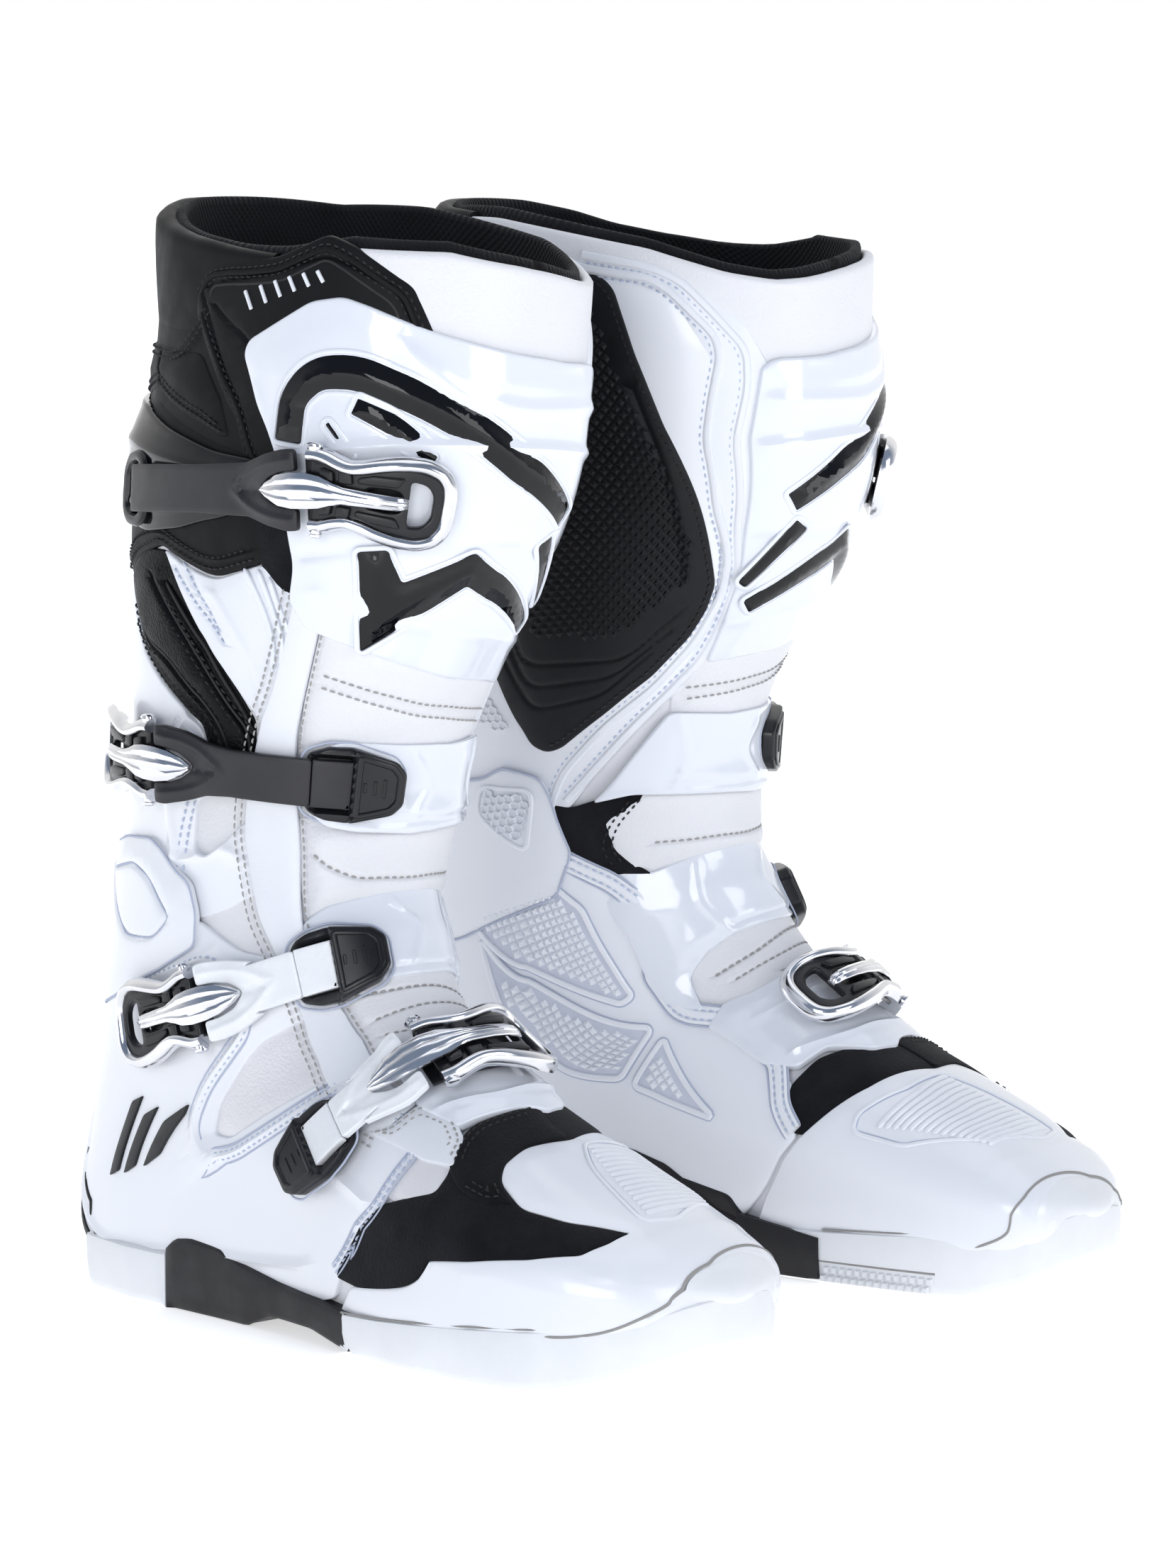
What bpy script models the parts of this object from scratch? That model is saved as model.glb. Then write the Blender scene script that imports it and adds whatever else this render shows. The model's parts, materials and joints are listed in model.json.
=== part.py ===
"""A pair of motocross riding boots with hinged ankle cuffs and four over-centre buckles on each boot.

Lengths are millimetres in each boot's own axes: a runs forward to the toe, b outward to the boot's
lateral side, z up from the ground. The pair stands with its toes towards -Y and turned slightly out,
the right boot at -X and the left boot, its mirror image, at +X.
"""

import math

import bmesh
import bpy
import numpy as np
from mathutils import Vector

MM = 0.001
BOOT_SPACING = 181.4  # between the heels' centre planes, measured across the pair
TOE_OUT = math.radians(6.2)
PAIR_CENTRE = 57.1  # how far ahead of the ankle line the middle of the pair lies
SIDES = {"right": -1, "left": 1}

# The boot's body is a tube that runs down the leg, round the ankle and out to the toe. Each station is
# an oval section between a front (or upper) point and a back (or sole) point.
STATIONS = np.array([
    # a_front z_front a_back z_back lateral medial shift front_squareness back_squareness
    [108, 372, -63, 402, 62, 60, -15, 2.3, 2.3],  # top rim
    [106, 335, -66, 345, 63, 61, -13, 2.3, 2.3],
    [100, 295, -76, 295, 62, 60, -10, 2.3, 2.3],  # calf
    [78, 250, -78, 248, 57, 55, -8, 2.2, 2.2],
    [58, 212, -80, 203, 51, 49, -7, 2.2, 2.2],
    [54, 180, -86, 158, 47, 45, -4, 2.2, 2.2],  # ankle hinge
    [54, 156, -90, 108, 44, 42, 0, 2.2, 2.3],
    [62, 136, -99, 55, 42, 40, 2, 2.2, 2.6],  # heel counter
    [74, 120, -94, 8, 42, 40, 3, 2.1, 3.5],
    [88, 106, -30, 4, 43, 40, 3, 2.1, 4.0],  # instep
    [104, 94, 40, 4, 47, 41, 2, 2.1, 4.5],
    [126, 82, 105, 2, 54, 44, 1, 2.1, 4.5],  # ball of the foot
    [152, 70, 148, 3, 54, 44, 0, 2.1, 4.5],
    [180, 58, 182, 8, 46, 41, -2, 2.1, 4.0],
    [202, 46, 206, 20, 32, 32, -5, 2.1, 3.0],
    [211, 38, 213, 30, 15, 15, -7, 2.0, 2.0],  # toe tip
], float)

# Layers, as distances out from the boot's body surface.
LINER = (-9.0, -3.4)
SHELL = (-3.0, 0.5)
PLATE = (1.6, 4.0)
GRIP = (1.8, 3.2)
EAR = (3.1, 5.9)
BRACKET = (1.4, 4.4)
BUCKLE_BASE = (5.6, 6.9)
LEVER = (7.9, 11.5)
STRAP = (5.6, 8.2)
LEAF = (12.7, 14.3)
HOLDER = (5.8, 10.2)

# Heights of the stack under the foot.
SOLE_TOP = 13.7
CHASSIS_FLOOR = (14.0, 16.4)
UPPER_FLOOR = (16.7, 20.0)
INSOLE = (20.4, 24.0)
ARCH_TOP = 8.6
INSOLE_INSET = (18.0, 24.0)  # from the sole's edge at the heel and at the toe

COLUMN_STEP = 18  # degrees round each section
CUFF_ROWS = [0.0, 0.25, 1.0, 1.7, 2.35, 3.0, 3.7, 4.3, 4.74]
BELLOWS_ROWS = [4.76, 5.08, 5.5, 5.74]
FOOT_ROWS = [5.76, 6.2, 6.7, 7.2, 7.7, 8.2, 8.8, 9.5, 10.3, 11.1, 11.95]
EAR_ROWS = [4.62, 5.0, 5.4]
TOE_ROWS = [12.05, 12.8, 13.5, 14.1, 14.35, 14.65, 15.0]
TOE_INNER_END = 14.75
UPPER_TOE_ROWS = [12.8, 13.5, 14.1, 14.35]
UPPER_INNER_END = 14.18
BOARD_ROWS = (8.8, 12.8)  # between these stations the upper is open underneath
BOARD_HALF_ANGLE = 45

ANKLE_PIVOT = (-21.0, 166.0)  # a and z of the hinge that joins the cuff to the foot

# Plan of the sole: station a, lateral edge and medial edge.
SOLE_PLAN = [
    (-98, 14, -12), (-93, 30, -26), (-78, 42, -36), (-50, 47, -40), (0, 48, -40), (40, 50, -41),
    (80, 54, -43), (120, 57, -46), (150, 56, -46), (172, 50, -45), (190, 40, -42), (203, 29, -37),
    (210, 18, -28), (214, 5, -17),
]
HEEL_BREAST = -26  # where the heel tread ends and the footpeg insert starts
ARCH_FRONT = 78
BLOCK_FRONT = 24
BRIDGE_HEIGHT = 5.0  # of the insert's underside ahead of its block
TOE_SPRING_START = 165
TOE_SPRING = 14
HEEL_BEVEL = (-90, 5.0)  # behind this station the heel's underside is this high
TIP_LIFT = (207, 4.2)  # ahead of this station the tread's top is this much higher
GAP = 0.3  # between neighbouring solids

# Each closure's route over the boot, in degrees round the section and station: the strap's fixed end,
# the strap's hinge, any bends, the lever's pivot and the lever's free end.
CLOSURES = {
    "calf": [(138, 1.95), (119, 1.9), (59, 1.80), (21, 1.93)],
    "shin": [(11, 4.50), (42, 4.37), (100, 4.10), (141, 4.0)],
    "ankle": [(14, 7.0), (45, 6.84), (80, 6.68), (108, 6.50)],
    "instep": [(88, 9.42), (61, 9.45), (22, 9.45), (-32, 9.54)],
}
# The instep closure rides higher, to clear the hollow of the instep.
CLOSURE_LIFT = {"calf": 0.0, "shin": 0.0, "ankle": 0.0, "instep": 2.6}
STRAP_WIDTH = 17
LEVER_WIDTH = 29
HOLDER_WIDTH = 27
STRAP_RISE = 4.5  # the strap climbs this much over the lever's rivet
LEAF_WIDTH = 8
HOOK_REACH = 33  # from the lever's pivot to the hook's tip
HOOK_DEPTH = 2.2
LEVER_BACK = -1.6  # how far the lever reaches behind its own rivet
HINGE_GAP = 1.6  # from the strap's hinge to its first edge
HOLDER_GAP = 3.9

WHITE = ((0.86, 0.87, 0.89), 0.3, 0.0)
LEATHER_WHITE = ((0.83, 0.83, 0.84), 0.55, 0.0)
BLACK = ((0.02, 0.02, 0.022), 0.45, 0.0)
GLOSS_BLACK = ((0.012, 0.012, 0.014), 0.15, 0.0)
RUBBER = ((0.03, 0.03, 0.033), 0.7, 0.0)
TEXTILE = ((0.02, 0.02, 0.02), 0.9, 0.0)
METAL = ((0.62, 0.62, 0.64), 0.18, 1.0)


def clear_scene():
    for old in list(bpy.data.objects):
        bpy.data.objects.remove(old, do_unlink=True)


def material(name, look):
    colour, roughness, metallic = look
    made = bpy.data.materials.get(name) or bpy.data.materials.new(name)
    made.use_nodes = True
    shader = made.node_tree.nodes["Principled BSDF"]
    shader.inputs["Base Color"].default_value = (*colour, 1)
    shader.inputs["Roughness"].default_value = roughness
    shader.inputs["Metallic"].default_value = metallic
    return made


def station(v):
    """The section's nine values at a fractional station, on a smooth curve through the stations."""
    last = len(STATIONS) - 1
    v = np.clip(v, 0, last)
    i = np.clip(np.floor(v).astype(int), 0, last - 1)
    t = (v - i)[..., None]
    before, here = STATIONS[np.clip(i - 1, 0, last)], STATIONS[i]
    after, beyond = STATIONS[i + 1], STATIONS[np.clip(i + 2, 0, last)]
    slope_here, slope_after = (after - before) / 2, (beyond - here) / 2
    return (
        (2 * t**3 - 3 * t**2 + 1) * here + (t**3 - 2 * t**2 + t) * slope_here
        + (3 * t**2 - 2 * t**3) * after + (t**3 - t**2) * slope_after
    )


def skin(u, v, offset=0.0):
    """Points offset from the body surface. u is 0 at the front, 90 lateral, 180 at the back or sole."""
    u, v, offset = np.broadcast_arrays(np.radians(u), np.asarray(v, float), offset)
    row = station(v)
    cosine, sine = np.cos(u), np.sin(u)
    power = 2 / np.where(cosine >= 0, row[..., 7], row[..., 8])
    along = np.sign(cosine) * np.abs(cosine) ** power
    across = np.sign(sine) * np.abs(sine) ** power
    width = np.where(sine >= 0, row[..., 4], row[..., 5])
    middle_a, middle_z = (row[..., 0] + row[..., 2]) / 2, (row[..., 1] + row[..., 3]) / 2
    half_a, half_z = (row[..., 0] - row[..., 2]) / 2, (row[..., 1] - row[..., 3]) / 2
    grow = 1 + offset / np.maximum(np.hypot(half_a, half_z), 1)
    return np.stack([
        middle_a + along * half_a * grow,
        row[..., 6] + across * (width + offset),
        middle_z + along * half_z * grow,
    ], -1)


def place(side, points):
    """Boot coordinates in millimetres to world coordinates in metres."""
    a, b, z = points[..., 0], points[..., 1], points[..., 2]
    forward = a * math.cos(TOE_OUT) - b * math.sin(TOE_OUT)
    outward = a * math.sin(TOE_OUT) + b * math.cos(TOE_OUT)
    return np.stack([side * (BOOT_SPACING / 2 + outward), PAIR_CENTRE - forward, z], -1) * MM


def slab(name, side, outer, inner, look, keep=None, ring=False, cap=False, origin=None):
    """A closed solid between two grids of points.

    keep says which cells are material, ring joins the last column to the first, and cap closes the
    last row with a plate instead of joining outer to inner. origin is the object's own origin.
    """
    rows, columns = outer.shape[:2]
    across = columns if ring else columns - 1
    keep = np.ones((rows - 1, across), bool) if keep is None else keep
    mesh = bmesh.new()
    made = {}

    def corner(layer, i, j):
        key = (layer, i, j % columns)
        if key not in made:
            grid = (outer, inner)[layer]
            made[key] = mesh.verts.new(place(side, grid[i, j % columns]))
        return made[key]

    def kept(i, j):
        if ring:
            j %= across
        return 0 <= i < rows - 1 and 0 <= j < across and keep[i, j]

    def wall(first, second):
        mesh.faces.new([corner(0, *first), corner(0, *second), corner(1, *second), corner(1, *first)])

    for i in range(rows - 1):
        for j in range(across):
            if not kept(i, j):
                continue
            a, b, c, d = (i, j), (i, j + 1), (i + 1, j + 1), (i + 1, j)
            for layer in (0, 1):
                mesh.faces.new([corner(layer, *a), corner(layer, *b), corner(layer, *c)])
                mesh.faces.new([corner(layer, *a), corner(layer, *c), corner(layer, *d)])
            if not kept(i - 1, j):
                wall(a, b)
            if not kept(i + 1, j) and not (cap and i == rows - 2):
                wall(c, d)
            if not kept(i, j - 1):
                wall(a, d)
            if not kept(i, j + 1):
                wall(b, c)
    if cap:
        for layer in (0, 1):
            mesh.faces.new([corner(layer, rows - 1, j) for j in range(across)])
    bmesh.ops.recalc_face_normals(mesh, faces=mesh.faces)
    start = np.zeros(3) if origin is None else place(side, np.asarray(origin, float))
    for vert in mesh.verts:
        vert.co -= Vector(start)
    data = bpy.data.meshes.new(name)
    mesh.to_mesh(data)
    mesh.free()
    data.shade_smooth()
    data.set_sharp_from_angle(angle=math.radians(35))
    data.materials.append(material(*look))
    made_object = bpy.data.objects.new(name, data)
    made_object.location = start
    bpy.context.scene.collection.objects.link(made_object)
    return made_object


def column_angles(first=0, last=360, step=COLUMN_STEP):
    count = round((last - first) / step)
    return np.linspace(first, last, count + 1)


def layer(u, rows, offset, floor=None):
    """A grid on the body surface, pressed flat where it would go below the floor."""
    grid = skin(np.asarray(u)[None, :], np.asarray(rows)[:, None], offset)
    if floor is not None:
        grid[..., 2] = np.maximum(grid[..., 2], floor)
    return grid


def patch(name, side, first, last, rows, depth, look, step=12):
    """A panel between two edges given as degrees at each row."""
    count = round(max(abs(b - a) for a, b in zip(first, last)) / step)
    share = np.linspace(0, 1, count + 1)[None, :]
    u = np.asarray(first, float)[:, None] * (1 - share) + np.asarray(last, float)[:, None] * share
    v = np.asarray(rows, float)[:, None]
    return slab(name, side, skin(u, v, depth[1]), skin(u, v, depth[0]), look)


def ring_columns():
    return column_angles()[:-1]


def build_cuff_liner(name, side):
    u = ring_columns()
    slab(name, side, layer(u, CUFF_ROWS, LINER[1]), layer(u, CUFF_ROWS, LINER[0]),
         ("cuff_lining", TEXTILE), ring=True)


def build_bellows(name, side):
    u = ring_columns()
    slab(name, side, layer(u, BELLOWS_ROWS, LINER[1]), layer(u, BELLOWS_ROWS, LINER[0]),
         ("bellows_leather", LEATHER_WHITE), ring=True)


def build_cuff_shell(name, side):
    """Wraps the calf from the lateral seam round the back to the medial seam, higher on the medial side."""
    u = column_angles(72, 324)
    rows = CUFF_ROWS[1:]
    keep = np.ones((len(rows) - 1, len(u) - 1), bool)
    for i, low in enumerate(rows[:-1]):
        if low < 2.3:
            keep[i] = u[:-1] >= 198
    slab(name, side, layer(u, rows, SHELL[1]), layer(u, rows, SHELL[0]), ("white_shell", WHITE), keep)


def build_foot_chassis(name, side):
    """The foot's outer tray: heel counter, both sides and floor, with an ear up each side to the hinge."""
    u = column_angles(54, 306)
    rows = EAR_ROWS + [5.5] + FOOT_ROWS
    keep = np.ones((len(rows) - 1, len(u) - 1), bool)
    ears = ((u[:-1] >= 72) & (u[:-1] < 108)) | ((u[:-1] >= 252) & (u[:-1] < 288))
    keep[:len(EAR_ROWS)] = ears
    raised = np.asarray(rows)[:, None] <= EAR_ROWS[-1]
    outer = layer(u, rows, np.where(raised, EAR[1], SHELL[1]), CHASSIS_FLOOR[0])
    inner = layer(u, rows, np.where(raised, EAR[0], SHELL[0]), CHASSIS_FLOOR[1])
    slab(name, side, outer, inner, ("white_shell", WHITE), keep)


def build_toe_cap(name, side):
    u = ring_columns()
    inner_rows = TOE_ROWS[:-1] + [TOE_INNER_END]
    slab(name, side, layer(u, TOE_ROWS, SHELL[1], CHASSIS_FLOOR[0]),
         layer(u, inner_rows, SHELL[0], CHASSIS_FLOOR[1]), ("white_shell", WHITE), ring=True, cap=True)


def build_foot_upper(name, side):
    """Leather and padding from the ankle to the toe, closed round the toes and open over the board."""
    u = ring_columns()
    rows = FOOT_ROWS + UPPER_TOE_ROWS
    keep = np.ones((len(rows) - 1, len(u)), bool)
    for i, (low, high) in enumerate(zip(rows, rows[1:])):
        if low >= BOARD_ROWS[0] and high <= BOARD_ROWS[1]:
            keep[i] = np.abs(u + COLUMN_STEP / 2 - 180) > BOARD_HALF_ANGLE
    inner_rows = FOOT_ROWS + UPPER_TOE_ROWS[:-1] + [UPPER_INNER_END]
    slab(name, side, layer(u, rows, LINER[1], UPPER_FLOOR[0]),
         layer(u, inner_rows, LINER[0], UPPER_FLOOR[1]), ("upper_suede", BLACK), keep, ring=True, cap=True)


def sole_grid(a_values, height, inset=0.0, shares=5):
    """Points across the sole's plan at one height per station."""
    plan = np.array(SOLE_PLAN, float)
    a = np.asarray(a_values, float)
    lateral = np.interp(a, plan[:, 0], plan[:, 1]) - inset
    medial = np.interp(a, plan[:, 0], plan[:, 2]) + inset
    share = np.linspace(0, 1, shares)[None, :]
    b = medial[:, None] * (1 - share) + lateral[:, None] * share
    z = np.broadcast_to(np.asarray(height, float), a.shape)[:, None] + 0 * b
    return np.stack([a[:, None] + 0 * b, b, z], -1)


def toe_spring(a):
    """How far the tread curls up ahead of the ball of the foot."""
    rise = np.clip((a - TOE_SPRING_START) / (SOLE_PLAN[-1][0] - TOE_SPRING_START), 0, 1)
    return TOE_SPRING * rise**2


def build_outsole(name, side):
    """Tread under the heel and forefoot, with a recess under the arch for the footpeg insert."""
    recess = (HEEL_BREAST, HEEL_BREAST + GAP, ARCH_FRONT - GAP, ARCH_FRONT)
    ends = [a for a, _, _ in SOLE_PLAN if a not in (0, 40)]
    a = np.array(sorted([*ends, *recess, TOE_SPRING_START]), float)
    in_recess = (a >= recess[1]) & (a <= recess[2])
    bottom = np.where(in_recess, ARCH_TOP + GAP, toe_spring(a))
    bottom = np.where(a < HEEL_BEVEL[0], HEEL_BEVEL[1], bottom)
    top = np.where(a > TIP_LIFT[0], SOLE_TOP + TIP_LIFT[1], SOLE_TOP)
    slab(name, side, sole_grid(a, bottom), sole_grid(a, top), ("white_sole", WHITE))


def build_footpeg_insert(name, side):
    """The block that stands on the ground under the arch, with a bridge forward to the tread."""
    ends = HEEL_BREAST + 2 * GAP, ARCH_FRONT - 2 * GAP
    a = np.array([ends[0], 0, BLOCK_FRONT, BLOCK_FRONT + 4, 50, ends[1]])
    bottom = np.where(a <= BLOCK_FRONT, 0.0, BRIDGE_HEIGHT)
    bottom[-1] = 1.0
    slab(name, side, sole_grid(a, bottom, shares=4), sole_grid(a, ARCH_TOP, shares=4),
         ("insert_rubber", RUBBER))


def build_insole(name, side):
    """Insole and lasting board together. They taper into the toe."""
    a = np.array([-72, -60, -30, 10, 60, 110, 145, 165, 176])
    inset = INSOLE_INSET[0] + (INSOLE_INSET[1] - INSOLE_INSET[0]) * np.clip((a - 110) / 60, 0, 1)
    slab(name, side, sole_grid(a, INSOLE[0], inset, 3), sole_grid(a, INSOLE[1], inset, 3),
         ("insole_foam", TEXTILE))


class Route:
    """A closure's path over the boot. Distances run from the strap's hinge, in millimetres."""

    def __init__(self, corners, lift):
        self.lift = lift
        self.u = np.array([c[0] for c in corners], float)
        self.v = np.array([c[1] for c in corners], float)
        fine = np.linspace(0, len(corners) - 1, 40 * (len(corners) - 1) + 1)
        points = self.at_share(fine, STRAP[0])
        steps = np.linalg.norm(np.diff(points, axis=0), axis=1)
        travelled = np.concatenate([[0], np.cumsum(steps)])
        self.fine = fine
        self.distance = travelled - travelled[40]
        self.start = self.distance[0]
        self.pivot = self.distance[-41]
        self.end = self.distance[-1]

    def at_share(self, share, height):
        knots = np.arange(len(self.u))
        return skin(np.interp(share, knots, self.u), np.interp(share, knots, self.v), height)

    def frame(self, distance):
        """Origin on the body surface with unit vectors along the route, across it and outward."""
        share = np.interp(distance, self.distance, self.fine)
        knots = np.arange(len(self.u))
        u, v = np.interp(share, knots, self.u), np.interp(share, knots, self.v)
        ahead = self.at_share(np.minimum(share + 0.1, knots[-1]), 0)
        behind = self.at_share(np.maximum(share - 0.1, 0), 0)
        along = ahead - behind
        outward = np.cross(skin(u + 2, v) - skin(u - 2, v), skin(u, v + 0.1) - skin(u, v - 0.1))
        outward /= np.linalg.norm(outward, axis=-1, keepdims=True)
        away = skin(u, v, 5.0) - skin(u, v)
        outward *= np.sign((outward * away).sum(-1, keepdims=True))
        along -= outward * (along * outward).sum(-1, keepdims=True)
        along /= np.linalg.norm(along, axis=-1, keepdims=True)
        return skin(u, v), along, np.cross(outward, along), outward

    def band(self, distances, half_widths, heights, shares=(-1, 1)):
        """A grid that follows the route, with a half width and a height at each distance."""
        centre, _, across, outward = self.frame(np.asarray(distances, float))
        half = np.broadcast_to(half_widths, len(distances)).astype(float)
        height = np.broadcast_to(heights, len(distances)).astype(float)
        share = np.asarray(shares, float)[None, :, None]
        middle = centre + outward * (height + self.lift)[:, None]
        return middle[:, None, :] + share * half[:, None, None] * across[:, None, :]


def build_strap(name, side, route, look):
    """A stiff strap that ends in a metal leaf with a hook. The leaf lies over the lever."""
    crest = route.pivot - 6
    leaf = route.pivot + np.array([0, 8, 16, 24, HOOK_REACH - 4, HOOK_REACH])
    d = np.concatenate([[HINGE_GAP, crest * 0.2, crest * 0.4, crest * 0.75, crest], leaf])
    low = np.array([STRAP[0]] * 4 + [STRAP[0] + STRAP_RISE] + [LEAF[0]] * 5 + [LEAF[0] - HOOK_DEPTH])
    high = np.array([STRAP[1]] * 4 + [STRAP[1] + STRAP_RISE] + [LEAF[1]] * 6)
    half = np.array([STRAP_WIDTH] * 5 + [16, 13] + [LEAF_WIDTH] * 4) / 2
    slab(name, side, route.band(d, half, high), route.band(d, half, low), look,
         origin=hinge_point(route))


def hinge_point(route):
    """The strap's hinge, at the middle of its thickness."""
    centre, _, _, outward = route.frame(0.0)
    return centre + outward * (route.lift + (STRAP[0] + STRAP[1]) / 2)


def lever_point(route):
    """The lever's rivet axis."""
    centre, _, _, outward = route.frame(route.pivot)
    return centre + outward * (route.lift + (LEVER[0] + LEVER[1]) / 2)


def build_lever(name, side, route):
    """A frame that closes over centre, with a window that takes the strap's hook."""
    length = route.end - route.pivot
    d = np.array([LEVER_BACK, 8, 16, 25, HOOK_REACH + 3, length - 8, length])
    half = np.array([0.76, 0.88, 0.97, 1, 1, 0.86, 0.55]) * LEVER_WIDTH / 2
    shares = [-1, -0.42, 0.42, 1]
    keep = np.ones((len(d) - 1, 3), bool)
    keep[3, 1] = False
    d = d + route.pivot
    slab(name, side, route.band(d, half, LEVER[1], shares), route.band(d, half, LEVER[0], shares),
         ("buckle_metal", METAL), keep, origin=lever_point(route))


def build_buckle_base(name, side, route):
    d = route.pivot + np.array([-5, LEVER_BACK, 10, 20, 30])
    slab(name, side, route.band(d, 11.0, BUCKLE_BASE[1]), route.band(d, 11.0, BUCKLE_BASE[0]),
         ("buckle_plastic", BLACK))


def build_holder(name, side, route):
    """Grips the strap's fixed end."""
    d = np.linspace(route.start, -HOLDER_GAP, 4)
    half = np.array([0.7, 1, 1, 0.8]) * HOLDER_WIDTH / 2
    slab(name, side, route.band(d, half, HOLDER[1]), route.band(d, half, HOLDER[0]),
         ("holder_plastic", BLACK))


def build_calf_bracket(name, side):
    """Glossy bracket round the back of the calf. The calf strap is hinged in it."""
    rows = [1.32, 1.6, 1.95, 2.2, 2.42]
    patch(name, side, [100, 86, 84, 86, 100], [150, 160, 162, 160, 150], rows, BRACKET,
          ("bracket_gloss", GLOSS_BLACK))


def build_plates(prefix, side):
    plates = {
        "shin_plate": ([86, 88, 76, 62, 40, 20], [-20, -30, -34, -36, -38, -40],
                       [0.5, 1.2, 2.0, 2.7, 3.1, 3.5]),
        "lower_shin_plate": ([44, 45, 42], [-34, -36, -32], [3.84, 4.3, 4.82]),
        "ankle_plate": ([40, 42, 44], [-46, -48, -44], [5.85, 6.5, 7.2]),
        "instep_plate": ([34, 42, 34, 20], [-30, -34, -30, -20], [8.2, 9.3, 10.3, 11.0]),
    }
    for plate, (first, last, rows) in plates.items():
        patch(prefix + plate, side, first, last, rows, PLATE, ("white_plate", WHITE))
    patch(prefix + "grip_panel", side, [-76, -67, -57, -48, -42, -54, -76],
          [-94, -101, -107, -110, -108, -101, -92], [0.4, 1.0, 1.7, 2.35, 3.0, 3.7, 4.3], GRIP,
          ("grip_rubber", RUBBER))


def build_closure(prefix, side, closure, route):
    strap_look = ("strap_black", BLACK) if closure in ("calf", "shin") else ("strap_white", WHITE)
    build_strap(f"{prefix}{closure}_strap", side, route, strap_look)
    build_lever(f"{prefix}{closure}_lever", side, route)
    build_buckle_base(f"{prefix}{closure}_buckle_base", side, route)
    if closure == "calf":
        build_calf_bracket(prefix + "calf_bracket", side)
    else:
        build_holder(f"{prefix}{closure}_strap_holder", side, route)


def build_boot(prefix, side):
    build_outsole(prefix + "outsole", side)
    build_footpeg_insert(prefix + "footpeg_insert", side)
    build_insole(prefix + "insole", side)
    build_foot_chassis(prefix + "foot_chassis", side)
    build_foot_upper(prefix + "foot_upper", side)
    build_toe_cap(prefix + "toe_cap", side)
    build_bellows(prefix + "ankle_bellows", side)
    build_cuff_liner(prefix + "cuff_liner", side)
    build_cuff_shell(prefix + "cuff_shell", side)
    build_plates(prefix, side)
    for closure, corners in CLOSURES.items():
        build_closure(prefix, side, closure, Route(corners, CLOSURE_LIFT[closure]))


clear_scene()
for word, sign in SIDES.items():
    build_boot(word + "_", sign)
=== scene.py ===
"""The looks of a pair of motocross riding boots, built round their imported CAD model.

Lengths are millimetres in each boot's own axes: a runs forward to the toe, b outward to the boot's
lateral side, z up. A place on the boot's body is given as (u, v): u in degrees round the section, 0 at
the front, 90 lateral, 180 at the back or sole and -90 medial, and v along the stations from rim to toe.
"""

import json
import math

import bmesh
import bpy
import numpy as np
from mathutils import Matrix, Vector
from mathutils.geometry import delaunay_2d_cdt


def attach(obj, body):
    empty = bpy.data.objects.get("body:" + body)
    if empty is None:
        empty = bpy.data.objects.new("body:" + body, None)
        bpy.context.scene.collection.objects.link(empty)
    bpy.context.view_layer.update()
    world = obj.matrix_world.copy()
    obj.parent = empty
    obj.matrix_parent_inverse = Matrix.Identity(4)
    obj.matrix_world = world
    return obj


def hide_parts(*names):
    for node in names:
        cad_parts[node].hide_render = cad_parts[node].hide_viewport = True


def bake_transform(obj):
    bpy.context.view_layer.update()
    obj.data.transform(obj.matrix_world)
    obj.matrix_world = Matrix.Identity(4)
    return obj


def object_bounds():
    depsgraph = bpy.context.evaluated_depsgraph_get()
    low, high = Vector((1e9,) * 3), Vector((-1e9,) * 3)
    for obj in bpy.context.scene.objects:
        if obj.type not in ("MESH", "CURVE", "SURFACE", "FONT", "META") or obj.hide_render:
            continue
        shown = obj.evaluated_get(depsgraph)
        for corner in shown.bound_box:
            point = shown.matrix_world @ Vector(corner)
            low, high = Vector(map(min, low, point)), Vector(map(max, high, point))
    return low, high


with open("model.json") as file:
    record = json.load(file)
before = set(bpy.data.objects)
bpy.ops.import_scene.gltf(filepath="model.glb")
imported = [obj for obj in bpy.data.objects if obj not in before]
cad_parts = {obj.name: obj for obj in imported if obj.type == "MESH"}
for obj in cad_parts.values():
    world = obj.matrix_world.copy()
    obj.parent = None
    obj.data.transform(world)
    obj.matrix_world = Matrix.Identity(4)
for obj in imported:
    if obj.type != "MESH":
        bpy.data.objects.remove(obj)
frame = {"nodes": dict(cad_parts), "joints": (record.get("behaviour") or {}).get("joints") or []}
CAD_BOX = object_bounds()
JOINTS = {joint["name"]: joint for joint in frame["joints"]}

MM = 0.001
TOE_OUT = math.radians(6.2)
SIDES = {"right": -1, "left": 1}
ANKLE_A = -21.0  # the ankle hinge's place along a
DEGREE = 1.2  # millimetres that one degree round the body takes, on average
STATION = 45  # millimetres that one station takes near the rim, for the grain's map
CROWN_STATION = 42  # the same for the round top of the collar

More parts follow.
